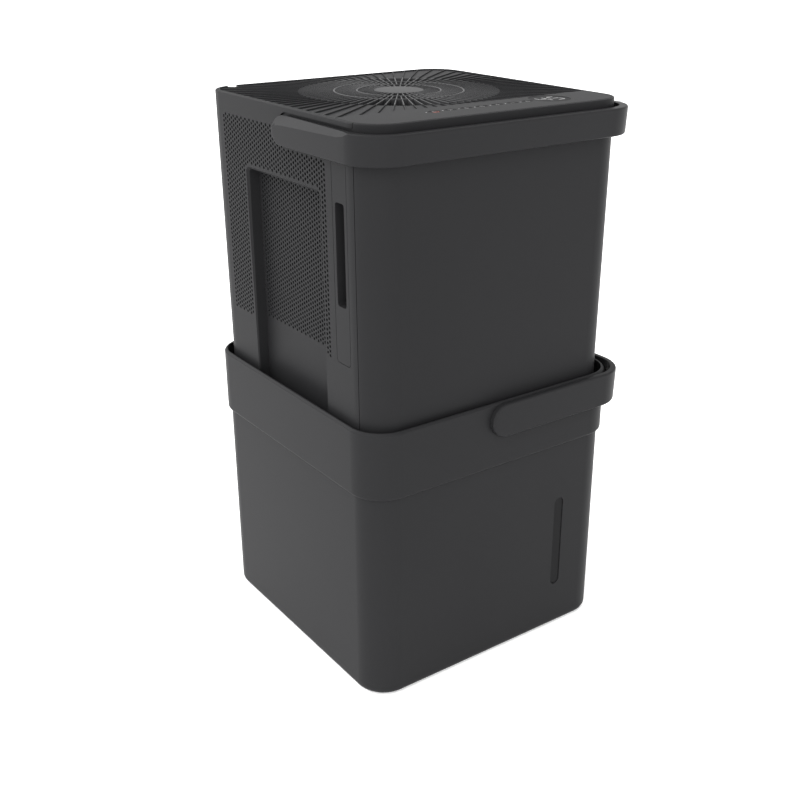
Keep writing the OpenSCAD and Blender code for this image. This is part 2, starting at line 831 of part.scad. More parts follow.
module condenser() {
    color("#b9bdc0") finned_coil(cond_y);
    color("#b46a3c") return_bends(cond_y);
}

module drip_tray() {
    h = coil_z0 - tray_z - 0.3;
    color("#2f2f31") difference() {
        translate([-frame_x, frame_y0, tray_z]) cube([2 * frame_x, frame_y1 - frame_y0, h - 2.5]);
        translate([-frame_x + 2.5, frame_y0 + 2.5, tray_z + 2.5])
            cube([2 * frame_x - 5, frame_y1 - frame_y0 - 5, h]);
        translate([spout_x, frame_y1 + 1, spout_z + 4]) rotate([90, 0, 0]) cylinder(r = 2.5, h = 6);
        for (i = [-2:2]) translate([i * 16, frame_y0 + 20, tray_z - 1]) cylinder(r = 2, h = 8);
    }
    color("#2f2f31") for (s = [-1, 1]) {
        // seats that the two coils stand on
        translate([s * 96 - 4, frame_y0 + 1, tray_z + 1])
            cube([8, frame_y1 - frame_y0 - 2, coil_z0 - tray_z - 1]);
        // legs down to the base pan
        for (y = [frame_y0, frame_y1 - 10]) translate([s > 0 ? frame_x - 10 : -frame_x, y, base_z + pan_t])
            cube([10, 10, tray_z - base_z - pan_t + 1]);
    }
}

// Tube from the tray to the spout in the rear pocket
module drain_tube() {
    y0 = frame_y1 + fit;
    y1 = spout_face - 0.8 - bung_t;
    color("#2a2a2c") difference() {
        union() {
            translate([spout_x, y0, spout_z]) rotate([-90, 0, 0]) cylinder(r = tube_r, h = y1 - y0);
            translate([spout_x, spout_y, spout_z]) rotate([-90, 0, 0]) cylinder(r = spout_r, h = y1 - spout_y);
            translate([spout_x, spout_face - spout_l - skin - 3.2, spout_z]) rotate([-90, 0, 0])
                cylinder(r = spout_r + 5, h = 3);
        }
        translate([spout_x, y0 + 3, spout_z]) rotate([-90, 0, 0]) cylinder(r = bore_r, h = y1 - y0);
        translate([spout_x, y0 - 1, spout_z + 4]) rotate([-90, 0, 0]) cylinder(r = 2.5, h = 6);
    }
}

module drain_bung() {
    y1 = spout_face - 0.8 - bung_t;
    color("#1c1c1d") translate([spout_x, y1, spout_z]) rotate([-90, 0, 0]) {
        translate([0, 0, -10]) cylinder(r = bore_r - run, h = 10.5);
        cylinder(r = spout_r - 0.8, h = bung_t);
    }
}

module compressor() {
    r = comp_r;
    color("#1b1b1c") translate([comp_x, comp_y, comp_z]) {
        rotate_extrude() polygon(concat(
            [[0, 0]], arc([r - 16, 16], 16, -90, 0), [[r, 60], [r + 1.5, 61], [r + 1.5, 67], [r, 68]],
            arc([r - 26, comp_h - 26], 26, 0, 90), [[0, comp_h]]));
        // feet
        for (a = [90, 210, 330]) rotate(a) difference() {
            translate([r - 20, -11, 0]) cube([36, 22, 3]);
            translate([r + 8, 0, -1]) cylinder(r = 5.2, h = 6);
        }
        // terminal cover
        translate([8, -9, comp_h - 1]) cylinder(r = 15, h = 14);
    }
}

module compressor_feet() {
    color("#151516") for (a = [90, 210, 330])
        translate([comp_x, comp_y, base_z + 8]) rotate(a) translate([comp_r + 8, 0, 0]) difference() {
            union() {
                cylinder(r = 8.5, h = comp_z - base_z - 8);
                cylinder(r = 5, h = comp_z - base_z - 8 + 5);
            }
            translate([0, 0, -1]) cylinder(r = 3 + run, h = 20);
        }
}

module compressor_bolts() {
    color("#98989a") for (a = [90, 210, 330])
        translate([comp_x, comp_y, base_z + 0.5]) rotate(a) translate([comp_r + 8, 0, 0]) {
            cylinder(r = 3, h = comp_z - base_z + 11);
            translate([0, 0, comp_z - base_z + 4.7]) cylinder(r = 8, h = 1.2);
            translate([0, 0, comp_z - base_z + 5.8]) cylinder(r = 5, h = 4, $fn = 6);
        }
}

module accumulator() {
    color("#232324") translate([acc_x, acc_y, comp_z + 40]) rotate_extrude() polygon(concat(
        [[0, 0]], arc([acc_r - 10, 10], 10, -90, 0), arc([acc_r - 10, 110], 10, 0, 90), [[0, 120]]));
    // strap to the compressor
    d = [comp_x - acc_x, comp_y - acc_y];
    l = norm(d) - comp_r - acc_r;
    color("#98989a") translate([acc_x, acc_y, comp_z + 92]) rotate(atan2(d[1], d[0]))
        translate([acc_r - 1, -6, 0]) cube([l + 0.7, 12, 14]);
}

// Quarter bend that starts at the origin along +Z and turns to +X
module quarter_bend() {
    translate([bend_r, 0, 0]) rotate([90, 0, 180]) rotate_extrude(angle = 90)
        translate([bend_r, 0]) circle(pipe_r);
}

// Quarter bend in the level plane, from angle a to a + 90 about its centre
module level_bend(a) {
    rotate(a) rotate_extrude(angle = 90) translate([bend_r, 0]) circle(pipe_r);
}

module refrigerant_pipes() {
    out_x = comp_x - 18;
    out_z = comp_z + comp_h;
    fins_y = cond_y + coil_t / 2 + 0.2;
    fins_x = coil_x - 13 + 0.2;
    color("#b46a3c") {
        // discharge from the compressor's top to the condenser
        translate([out_x, comp_y, out_z]) cylinder(r = pipe_r, h = discharge_z - bend_r - out_z);
        translate([out_x, comp_y, discharge_z - bend_r]) rotate(-90) quarter_bend();
        translate([out_x, fins_y, discharge_z]) rotate([-90, 0, 0])
            cylinder(r = pipe_r, h = comp_y - bend_r - fins_y);
        // suction from the evaporator's end, past the coils, to the accumulator
        translate([acc_x, acc_y, acc_top]) cylinder(r = pipe_r, h = 2);
        translate([acc_x, acc_y, acc_top + 2]) rotate(180) quarter_bend();
        translate([suction_x + bend_r, acc_y, suction_z]) rotate([0, 90, 0])
            cylinder(r = pipe_r, h = acc_x - suction_x - 2 * bend_r);
        translate([suction_x + bend_r, acc_y - bend_r, suction_z]) level_bend(90);
        translate([suction_x, evap_y + bend_r, suction_z]) rotate([-90, 0, 0])
            cylinder(r = pipe_r, h = acc_y - evap_y - 2 * bend_r);
        translate([suction_x + bend_r, evap_y + bend_r, suction_z]) level_bend(180);
        translate([suction_x + bend_r, evap_y, suction_z]) rotate([0, 90, 0])
            cylinder(r = pipe_r, h = -fins_x - suction_x - bend_r);
    }
}

// ---------- fan ----------

module fan_deck() {
    color("#2f2f31") difference() {
        translate([0, 0, deck_z]) linear_extrude(deck_t) difference() {
            rounded_square(hw_at(deck_z) - skin - lap_t - 2 * fit, hr - skin - lap_t - 2 * fit);
            translate([-200, -400]) square([400, 400 + frame_y0]);
            translate([0, fan_y]) circle(rotor_r + 4);
            // clears the filter's finger slot
            translate([-hw, frame_y0 - 1])
                square([skin + slot_d + 1, grip_y + slot_w / 2 + 2.5 - frame_y0 + 1]);
        }
    }
}

module fan_shroud() {
    color("#2f2f31") translate([0, fan_y, deck_z + deck_t]) rotate_extrude()
        polygon([[rotor_r + 4, 0], [rotor_r + 14, 0], [rotor_r + 14, 2], [rotor_r + 8, 2], [rotor_r + 4.6, 6],
            [rotor_r + 4.6, top_z - vane_h - 3.2 - deck_z - deck_t], [rotor_r + 2.4, top_z - vane_h - 3.2 - deck_z - deck_t],
            [rotor_r + 2.4, 6]]);
}

module fan_motor() {
    color("#5a5a5c") translate([0, fan_y, motor_top - motor_h]) difference() {
        rotate_extrude() polygon(concat(
            [[0, 0], [12, 0], [12, 3], [motor_r - 6, 3]], arc([motor_r - 4, 7], 4, -90, 0, 4),
            [[motor_r, 14], [motor_r + 3, 14], [motor_r + 3, 17], [motor_r, 17], [motor_r, motor_h], [0, motor_h]]));
        translate([0, 0, -1]) cylinder(r = shaft_r + run, h = motor_h + 2);
    }
}

module motor_bracket() {
    t = deck_z - motor_top;
    arm = rotor_r + 16;
    color("#38383a") translate([0, fan_y, motor_top]) difference() {
        union() {
            cylinder(r = motor_r + 1, h = t - 1.5);
            for (a = [90, 205, 335]) rotate(a) {
                translate([0, -8, 0]) cube([arm, 16, t - 1.5]);
                translate([rotor_r + 6, -12, 0]) cube([arm - rotor_r - 6, 24, t]);
            }
        }
        translate([0, 0, -1]) cylinder(r = 14, h = t + 2);
    }
}

module motor_shaft() {
    color("#c4c4c6") translate([0, fan_y, motor_top - motor_h - 4]) cylinder(r = shaft_r, h = motor_h + 46);
}

module fan_rotor() {
    hub = 32;
    z0 = motor_top + 12;
    h = 30;
    color("#48484a") translate([0, fan_y, z0]) difference() {
        union() {
            rotate_extrude() polygon(concat([[0, 0], [hub, 0]], arc([hub - 8, h - 8], 8, 0, 90), [[0, h]]));
            for (i = [0:blades - 1]) rotate(360 / blades * i) intersection() {
                translate([hub - 5, 0, h / 2]) rotate([blade_tilt, 0, 0])
                    translate([0, -1.2, -h]) cube([rotor_r, 2.4, 2 * h]);
                cylinder(r = rotor_r, h = h);
            }
        }
        translate([0, 0, -1]) cylinder(r = shaft_r, h = h + 2);
    }
}

// ---------- electrical pieces ----------

module control_box() {
    color("#2b2b2d") difference() {
        translate([-122, 72, base_z + pan_t]) cube([70, 56, 70]);
        translate([-119.5, 74.5, base_z + pan_t + 2.5]) cube([65, 51, 70]);
    }
    color("#27502f") translate([-117, 77, base_z + pan_t + 2.5]) cube([60, 46, 1.6]);
}

module run_capacitor() {
    color("#d0d0cc") translate([-96, 40, base_z + pan_t]) {
        cylinder(r = 20, h = 62);
        for (s = [-1, 1]) translate([s * 7 - 3, -0.4, 61.9]) cube([6, 0.8, 9]);
    }
}

module float() {
    color("#e6e6e2") translate([float_x, float_y, 0]) {
        translate([0, 0, base_z + 1]) cylinder(r = float_r, h = 17);
        translate([0, 0, base_z + 17]) cylinder(r = 4, h = 30 + float_travel);
    }
}

module float_clip() {
    color("#98989a") translate([float_x, float_y, base_z + 30]) difference() {
        cylinder(r = 8, h = 1.5);
        translate([0, 0, -1]) cylinder(r = 4, h = 4);
    }
}

module float_switch() {
    color("#26262a") translate([float_x - 9, float_y + 12, base_z + 30]) cube([18, 12, 24]);
}

module cord_gland() {
    y = hw_at(gland_z);
    color("#1c1c1d") translate([gland_x, y, gland_z]) rotate([-90, 0, 0]) difference() {
        union() {
            translate([0, 0, -skin - 2.4]) cylinder(r = 8, h = skin + 4);
            translate([0, 0, 0.15]) cylinder(r = 11, h = 3);
            translate([0, 0, -skin - 2.4]) cylinder(r = 11, h = 2);
        }
        translate([0, 0, -12]) cylinder(r = 3.7, h = 30);
    }
}

// ---------- one line for each piece ----------

bucket_shell();
front_post();
rear_post();
water_window();
bucket_handle();
bucket_handle_clips();
base_pan();
front_cover();
left_side_panel();
right_side_panel();
rear_cover();
top_cover();
display_lens();
display_board();
head_handle();
head_handle_clips();
filter_frame();
filter_mesh();
filter_guide();
coil_frame();
evaporator();
condenser();
drip_tray();
drain_tube();
drain_bung();
compressor();
accumulator();
refrigerant_pipes();
compressor_feet();
compressor_bolts();
fan_deck();
fan_shroud();
fan_motor();
motor_bracket();
motor_shaft();
fan_rotor();
control_box();
run_capacitor();
float();
float_clip();
float_switch();
cord_gland();
casing_screws();
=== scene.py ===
"""Portable dehumidifier: a square head with the cooling circuit, standing in a square water bucket."""

import math

import bmesh
import bpy
from mathutils import Matrix, Vector


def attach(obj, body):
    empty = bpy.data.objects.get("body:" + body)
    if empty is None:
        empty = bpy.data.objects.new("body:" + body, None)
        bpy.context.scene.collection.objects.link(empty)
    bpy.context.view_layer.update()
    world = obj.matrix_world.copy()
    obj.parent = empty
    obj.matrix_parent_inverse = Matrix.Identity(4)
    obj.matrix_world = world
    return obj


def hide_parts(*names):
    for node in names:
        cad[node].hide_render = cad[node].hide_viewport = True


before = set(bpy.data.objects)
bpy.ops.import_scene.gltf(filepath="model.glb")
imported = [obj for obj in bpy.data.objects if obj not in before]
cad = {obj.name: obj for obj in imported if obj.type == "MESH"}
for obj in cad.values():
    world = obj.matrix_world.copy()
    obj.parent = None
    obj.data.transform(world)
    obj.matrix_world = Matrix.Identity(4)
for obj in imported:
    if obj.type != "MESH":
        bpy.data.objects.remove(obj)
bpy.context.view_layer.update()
mm = 0.001

# ------------------------ studio
# A white seamless paper floor under an even white sky, with a soft key light from the left,
# a fill from the front and a rim light from behind. The camera stands in front and to the
# left, a little above the top plate.

target = Vector((0, 0, 254.37)) * mm
eye = Vector((-685.94, -953.18, 757.45)) * mm
camera = bpy.data.objects.new("studio_camera", bpy.data.cameras.new("studio_camera"))
camera.data.lens = 49.68
camera.data.sensor_width = 36
camera.data.shift_x = -0.0129
camera.location = eye
camera.rotation_euler = (target - eye).to_track_quat("-Z", "Y").to_euler()
bpy.context.scene.collection.objects.link(camera)
bpy.context.scene.camera = camera
bpy.context.scene.view_settings.view_transform = "Standard"


def linear(code):
    """Linear RGBA of an sRGB hex colour."""
    parts = [int(code[i : i + 2], 16) / 255 for i in (1, 3, 5)]
    return [c / 12.92 if c <= 0.04045 else ((c + 0.055) / 1.055) ** 2.4 for c in parts] + [1]


def add(tree, kind, props={}, values={}, links={}):
    """Adds a node, sets its properties and input values, and links its inputs."""
    node = tree.nodes.new(kind)
    for key, value in props.items():
        setattr(node, key, value)
    for key, value in values.items():
        node.inputs[key].default_value = value
    for key, socket in links.items():
        tree.links.new(socket, node.inputs[key])
    return node


def new_material(name, values):
    """A material whose Principled shader has the given plain values, its node tree and that shader."""
    material = bpy.data.materials.new(name)
    material.use_nodes = True
    shader = material.node_tree.nodes["Principled BSDF"]
    for key, value in values.items():
        shader.inputs[key].default_value = value
    return material, material.node_tree, shader


def mesh_object(name, mesh, material=None):
    """Links a mesh as an object at the origin."""
    obj = bpy.data.objects.new(name, mesh)
    bpy.context.scene.collection.objects.link(obj)
    if material:
        mesh.materials.clear()
        mesh.materials.append(material)
    return obj


# Matt paper: an even white with the faintest cloud of its fibres, lit a little from below,
# as a light table is, so that shadows stay faint.
paper, tree, shader = new_material("white_matt_paper", {
    "Roughness": 0.9, "Specular IOR Level": 0.2, "Emission Color": (1, 1, 1, 1), "Emission Strength": 0.25})
spot = add(tree, "ShaderNodeTexCoord").outputs["Object"]
fibre = add(tree, "ShaderNodeTexNoise", {}, {"Scale": 40, "Detail": 2}, {"Vector": spot})
tone = add(tree, "ShaderNodeMapRange", {}, {"To Min": 0.95, "To Max": 0.97}, {"Value": fibre.outputs["Fac"]})
tree.links.new(tone.outputs["Result"], shader.inputs["Base Color"])

far = 30  # metres, so that the paper has no edge in view
floor_mesh = bpy.data.meshes.new("studio_floor")
floor_mesh.from_pydata([(-far, -far, 0), (far, -far, 0), (far, far, 0), (-far, far, 0)], [], [(0, 1, 2, 3)])
mesh_object("studio_floor", floor_mesh, paper)

world = bpy.data.worlds.new("studio_sky")
bpy.context.scene.world = world
world.use_nodes = True
world.node_tree.nodes["Background"].inputs["Color"].default_value = (1, 1, 1, 1)
world.node_tree.nodes["Background"].inputs["Strength"].default_value = 1.05

# Each light: its name, the direction it stands in, its strength, and how wide it is in degrees.
for name, toward, strength, spread in (
    ("key_light_left", (-0.6, 0.1, 0.85), 1.9, 85),
    ("rim_light_back", (-0.4, 0.8, 0.5), 1.3, 40),
    ("fill_light_front", (-0.7, -0.9, 0.35), 1.65, 80),
):
    lamp = bpy.data.objects.new(name, bpy.data.lights.new(name, "SUN"))
    lamp.data.energy = strength
    lamp.data.angle = math.radians(spread)
    lamp.location = Vector(toward) * 3
    lamp.rotation_euler = Vector(toward).to_track_quat("Z", "Y").to_euler()
    bpy.context.scene.collection.objects.link(lamp)

# ------------------------ bucket
# One deep moulding in charcoal ABS: square, with a soft foot, a stepped collar and a
# bevelled rim. The wall is 2.6 mm all round, and small ribs in the collar centre the head.

def two_tone(tree, shader, scale, detail, first, second):
    """Lets a shader's colour drift between two in patches of 1 / scale metres. Returns that colour."""
    spot = add(tree, "ShaderNodeTexCoord").outputs["Object"]
    patches = add(tree, "ShaderNodeTexNoise", {}, {"Scale": scale, "Detail": detail}, {"Vector": spot})
    tint = add(tree, "ShaderNodeMix", {"data_type": "RGBA"}, {}, {"Factor": patches.outputs["Fac"]})
    tint.inputs["A"].default_value = first
    tint.inputs["B"].default_value = second
    tree.links.new(tint.outputs["Result"], shader.inputs["Base Color"])
    return tint.outputs["Result"]


def moulded(name, code, rough, grain=0.9, depth=0.03, cloud=0.05, spec=0.05):
    """Spark-eroded ABS or polypropylene: an even colour with a faint cloudiness, and a fine grain that dulls
    its highlights. The real grain is about 0.2 mm; it is drawn at grain mm so that it shows."""
    material, tree, shader = new_material(name, {"Specular IOR Level": spec})
    base = linear(code)[:3]
    two_tone(tree, shader, 9, 3, [c * (1 - cloud) for c in base] + [1], [c * (1 + cloud) for c in base] + [1])
    spot = add(tree, "ShaderNodeTexCoord").outputs["Object"]
    fine = add(tree, "ShaderNodeTexNoise", {}, {"Scale": 1 / (grain * mm), "Detail": 2}, {"Vector": spot})
    span = {"To Min": rough - 0.05, "To Max": rough + 0.05}
    dull = add(tree, "ShaderNodeMapRange", {}, span, {"Value": fine.outputs["Fac"]})
    tree.links.new(dull.outputs["Result"], shader.inputs["Roughness"])
    swell = {"Strength": 0.35, "Distance": depth * mm}
    relief = add(tree, "ShaderNodeBump", {}, swell, {"Height": fine.outputs["Fac"]})
    tree.links.new(relief.outputs["Normal"], shader.inputs["Normal"])
    return material


def arc(centre, radius, start, end, steps):
    """Points of an arc in a section, angles in degrees."""
    turn = [math.radians(start + (end - start) * i / steps) for i in range(steps + 1)]
    return [(centre[0] + radius * math.cos(a), centre[1] + radius * math.sin(a)) for a in turn]


def around(half, radius, start=0, end=360, step=5):
    """Walk round a square with rounded corners, by the outward direction in degrees.
    Each step is (corner centre, direction)."""
    walk = []
    for quarter in range(math.floor(start / 90), math.ceil(end / 90)):
        low, high = max(start, quarter * 90), min(end, quarter * 90 + 90)
        middle = math.radians(quarter * 90 + 45)
        reach = half - radius
        centre = Vector((math.copysign(reach, math.cos(middle)), math.copysign(reach, math.sin(middle))))
        parts = max(1, round((high - low) / step))
        for i in range(parts + 1):
            a = math.radians(low + (high - low) * i / parts)
            walk.append((centre, Vector((math.cos(a), math.sin(a)))))
    return walk


def loft(rings, closed=False):
    """Skins rings of points in mm into a closed mesh, capped at both ends unless it is closed on itself."""
    form = bmesh.new()
    rows = [[form.verts.new(Vector(p) * mm) for p in ring] for ring in rings]
    for here, there in zip(rows, rows[1:] + rows[:1] if closed else rows[1:]):
        for k in range(len(here)):
            m = (k + 1) % len(here)
            form.faces.new((here[k], there[k], there[m], here[m]))
    if not closed:
        form.faces.new(rows[0])
        form.faces.new(list(reversed(rows[-1])))
    bmesh.ops.remove_doubles(form, verts=form.verts, dist=1e-7)
    bmesh.ops.recalc_face_normals(form, faces=form.faces)
    mesh = bpy.data.meshes.new("shape")
    form.to_mesh(mesh)
    form.free()
    return mesh


def sweep(walk, radius, section, closed=True):
    """Carries a closed section of (distance outside the face, height) along a walk, all in mm."""
    rings = []
    for centre, way in walk:
        flat = [centre + way * (radius + out) for out, _ in section]
        rings.append([(p.x, p.y, z) for p, (_, z) in zip(flat, section)])
    return loft(rings, closed)


def box(low, high):
    """A plain block between two corners in mm, for cutting and joining."""
    (x0, y0, z0), (x1, y1, z1) = low, high
    return loft([[(x, y0, z0), (x, y1, z0), (x, y1, z1), (x, y0, z1)] for x in (x0, x1)])


def rod(centre, radius, axis, low, high, steps=48):
    """A round bar or cutter along an axis (0, 1 or 2) through a centre in mm."""
    rings = []
    for at in (low, high):
        ring = []
        for i in range(steps):
            a = 2 * math.pi * i / steps
            p = [0, 0, 0]
            p[axis] = at
            p[(axis + 1) % 3] = centre[(axis + 1) % 3] + radius * math.cos(a)
            p[(axis + 2) % 3] = centre[(axis + 2) % 3] + radius * math.sin(a)
            ring.append(p)
        rings.append(ring)
    return loft(rings)


def plain(obj):
    """The mesh an object shows with its modifiers, as a mesh of its own."""
    bpy.context.view_layer.update()
    graph = bpy.context.evaluated_depsgraph_get()
    shown = obj.evaluated_get(graph)
    return bpy.data.meshes.new_from_object(shown, preserve_all_data_layers=True, depsgraph=graph)


def carve(body, *steps):
    """Takes a closed body through steps, each ("join", mesh to add) or ("cut", mesh to take out)."""
    block = mesh_object("blank", body)
    used = [block]
    for step, mesh in steps:
        used.append(mesh_object("tool", mesh))
        change = block.modifiers.new(step, "BOOLEAN")
        change.operation = {"join": "UNION", "cut": "DIFFERENCE"}[step]
        change.object = used[-1]
        change.solver = "MANIFOLD"
    result = plain(block)
    for obj in used:
        bpy.data.objects.remove(obj)
    return result


def soften(mesh, width, segments=2, angle=32):
    """Rounds the sharp edges of a mesh by a width in mm and returns the new mesh."""
    obj = mesh_object("blank", mesh)
    edge = obj.modifiers.new("edges", "BEVEL")
    edge.width = width * mm
    edge.segments = segments
    edge.limit_method = "ANGLE"
    edge.angle_limit = math.radians(angle)
    result = plain(obj)
    bpy.data.objects.remove(obj)
    return result


def fitted(name, mesh, material, node, body):
    """Makes a finished piece of a mesh: smooth up to creases of 30 degrees, for a CAD node, on its body."""
    mesh.shade_smooth()
    mesh.set_sharp_from_angle(angle=math.radians(30))
    blank = mesh_object("blank", mesh)
    blank.modifiers.new("flat faces stay flat", "WEIGHTED_NORMAL").keep_sharp = True
    mesh = plain(blank)
    bpy.data.objects.remove(blank)
    piece = mesh_object(name, mesh, material)
    mesh.name = name
    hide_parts(node)
    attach(piece, body)


bucket_half, bucket_round, wall = 161, 34, 2.6
foot_r, collar_z, rim_z = 8, 240, 310
step_out, step_r, lip_in, lip_r, lip_tall = 4, 3.6, 0.2, 0.5, 3.5  # collar and rim, from the bucket's wall
bucket_abs = moulded("charcoal_abs_bucket", "#242425", rough=0.42)
rim_bevel = ((0, 2.6), (0.25, 2), (1.9, 0.25), (2.4, 0))  # in from the collar's face, down from the rim
bucket_section = (
    arc((-foot_r, foot_r), foot_r, -90, 0, 10)
    + [(0, collar_z - step_out - 0.4), (0.3, collar_z - step_out + 0.3)]
    + arc((step_out - step_r, collar_z + 0.2), step_r, -75, 0, 8)
    + [(step_out - back, rim_z - down) for back, down in rim_bevel]
    + arc((lip_in + lip_r, rim_z - lip_r), lip_r, 90, 180, 3)
    + [(lip_in, rim_z - lip_tall), (step_out - wall, rim_z - 6)]
    + [(step_out - wall, collar_z + 1), (-wall, collar_z - step_out + 1)]
    + arc((-foot_r, foot_r), foot_r - wall, 0, -90, 8)
    + [(-2 * foot_r, wall), (-2 * foot_r, 0)]
)
bucket = sweep(around(bucket_half, bucket_round), bucket_round, bucket_section)
window_x, window_z, window_w, window_h, window_gap = 90, 112.22, 12.5, 112, 0.4
bail_z, stud_hole_r = 291, 6.2  # height of the handle's pivot, and the holes for its studs


def pill(x, z, w, h, y0, y1):
    """A round-ended upright plug through a front wall, between two depths in mm."""
    r = w / 2
    flat = arc((x, z - h / 2 + r), r, 180, 360, 12) + arc((x, z + h / 2 - r), r, 0, 180, 12)
    return loft([[(a, y, b) for a, b in flat] for y in (y0, y1)])


bucket = carve(
    bucket,
    ("cut", pill(window_x, window_z, window_w + window_gap, window_h + window_gap, -170, -155)),
    ("cut", rod((0, 0, bail_z), stud_hole_r, 1, -170, -150)),
    ("cut", rod((0, 0, bail_z), stud_hole_r, 1, 150, 170)),
)
fitted("bucket_moulding", bucket, bucket_abs, "bucket_shell", "bucket")

flat = [c + w * (bucket_round - 15) for c, w in around(bucket_half, bucket_round, step=15)]
bucket_floor = loft([[(p.x, p.y, z) for p in flat] for z in (0, wall)])
fitted("bucket_floor", bucket_floor, bucket_abs, "bucket_shell", "bucket")
rib_at, rib_half, rib_root, rib_face = 118, 1.25, 163.4, 158.2
rib_side = ((rib_root, collar_z + 12), (rib_root, rim_z - 4), (159.6, rim_z - 9), (rib_face, rim_z - 13),
            (rib_face, collar_z + 18))
ribs = None
for quarter in range(4):
    for side in (-1, 1):
        rib = loft([[(x, side * rib_at + y, z) for x, z in rib_side] for y in (-rib_half, rib_half)])
        rib.transform(Matrix.Rotation(math.radians(90 * quarter), 4, "Z"))
        ribs = rib if ribs is None else carve(ribs, ("join", rib))
fitted("bucket_guide_ribs", soften(ribs, 0.4), bucket_abs, "bucket_shell", "bucket")

# ------------------------ posts and window
# Two hollow posts stand inside the bucket and carry the head. The level window is a
# narrow smoked insert that snaps into its slot, a little below the wall's face.

def dress(material, *names):
    """Gives CAD nodes, whose shapes stay, their real finish."""
    for name in names:
        cad[name].data.materials.clear()
        cad[name].data.materials.append(material)


dress(moulded("charcoal_abs_posts", "#242425", rough=0.46), "front_post", "rear_post")


def uneven(name, code, scale, low, high, detail=2, metallic=0, spec=0.5):
    """A finish of one colour whose roughness wanders from low to high in patches of 1 / scale metres."""
    material, tree, shader = new_material(name, {
        "Base Color": linear(code), "Metallic": metallic, "Specular IOR Level": spec})
    spot = add(tree, "ShaderNodeTexCoord").outputs["Object"]
    patches = add(tree, "ShaderNodeTexNoise", {}, {"Scale": scale, "Detail": detail}, {"Vector": spot})
    span = {"To Min": low, "To Max": high}
    blur = add(tree, "ShaderNodeMapRange", {}, span, {"Value": patches.outputs["Fac"]})
    tree.links.new(blur.outputs["Result"], shader.inputs["Roughness"])
    return material


# Smoked polycarbonate: almost black and smooth, with a light haze.
smoked = uneven("smoked_polycarbonate", "#151516", 220, 0.28, 0.34, detail=3, spec=0.06)
window_face, flange_face, window_back = -160.2, -158.2, -156.8  # depths along Y
flange = 8  # how much wider and taller the insert is behind the wall
window = carve(
    pill(window_x, window_z, window_w - window_gap, window_h - window_gap, window_face, flange_face + 0.3),
    ("join", pill(window_x, window_z, window_w + flange, window_h + flange, flange_face, window_back)),
)
fitted("level_window", soften(window, 0.5, 3), smoked, "water_window", "bucket")

# ------------------------ bucket handle
# A flat U-shaped carrying handle, moulded in one with its two pivot studs. It lies
# round the collar's right side. Spring rings inside the collar keep the studs in.

def bail(out, side, corner, thick, band, pivot, bevel=None, edge=2):
    """U-shaped band in mm, in its own frame: round-ended arms run along +X from pivots at x = 0, and the bar
    crosses at x = out. The outer edges are rounded to the radius edge. bevel gives the height and the width
    on top of the outer top edge's cut, along an arm."""
    half = band / 2
    path = []
    for a in (4, 9, 15, 22, 30, 39, 48, 58, 68, 79, 90):
        setback = half * math.cos(math.radians(a))
        path.append((Vector((-setback, -side)), Vector((0, -1)), setback))
    for x in range(8, int(out - corner) - 4, 8):
        path.append((Vector((x, -side)), Vector((0, -1)), 0))
    centre = Vector((out - corner, -side + corner))
    for i in range(19):
        a = math.radians(-90 + 5 * i)
        way = Vector((math.cos(a), math.sin(a)))
        path.append((centre + way * corner, way, 0))
    path += [(Vector((p.x, -p.y)), Vector((w.x, -w.y)), s) for p, w, s in reversed(path)]
    rings = []
    for p, way, setback in path:
        h = math.sqrt(half ** 2 - setback ** 2)
        room = min(edge, (half - setback) * 0.98)
        round_over = []
        for turn in (90, 62, 34, 0):
            gap = room * (1 - math.sin(math.radians(turn)))
            sunk = edge - math.sqrt(edge ** 2 - (edge - gap) ** 2)
            round_over.append((sunk, math.sqrt((half - gap) ** 2 - setback ** 2)))
        over = list(reversed(round_over))
        foot, across = bevel(p.x, h) if bevel else (h, 0)
        if across:
            start = over[0][0]
            width = max(across, start) - start
            over = [(start + width * k / 3, foot + (h - foot) * k / 3) for k in range(4)]
        lean = 1.5 * max(0, way.x)  # the bar's face draws in a little towards its lower edge
        profile = [(sunk + lean, -z) for sunk, z in round_over] + over + [(thick, h), (thick, -h)]
        rings.append([(*(p - way * sunk), pivot + z) for sunk, z in profile])
    return loft(rings)


stud_r = 6


def studs(reach_from, reach_to, z):
    """Two short studs on the inner faces of a bail's arms, pointing inward along Y."""
    pair = None
    for side in (-1, 1):
        low, high = sorted((side * reach_from, side * reach_to))
        stud = soften(rod((0, 0, z), stud_r, 1, low, high), 0.6)
        pair = stud if pair is None else carve(pair, ("join", stud))
    return pair


handle_abs = moulded("satin_charcoal_abs", "#242425", rough=0.38)
band = bail(out=178, side=172, corner=40, thick=6.5, band=37, pivot=bail_z, edge=2.4)
for name, mesh in (("bucket_handle_band", soften(band, 0.8, 2, 40)),
                   ("bucket_handle_studs", studs(158.8, 166, bail_z))):
    fitted(name, mesh, handle_abs, "bucket_handle", "bucket_handle_body")

# Zinc-plated spring steel: pale grey and bright, with a fine crystal haze in its shine.
zinc = uneven("bright_zinc_spring_steel", "#b9babb", 900, 0.3, 0.45, metallic=1)
dress(zinc, "bucket_handle_clips", "head_handle_clips", "compressor_bolts", "float_clip", "casing_screws")

# ------------------------ base pan and inner mouldings
# The head's floor and the other inner mouldings are plain black polypropylene, from a
# smooth tool, so they have a soft sheen and next to no grain.

black_pp = moulded("black_polypropylene", "#1a1a1b", rough=0.42, grain=2.5, depth=0.01, cloud=0.08)
dress(black_pp, "base_pan", "coil_frame", "drip_tray", "drain_tube", "fan_deck", "fan_shroud",
      "filter_guide", "control_box", "float_switch", "fan_rotor")

# ------------------------ cooling circuit
# Two fin packs stand on the drip tray behind the filter. The compressor sits on rubber
# feet behind them, with its accumulator, and soldered copper tube joins them up.

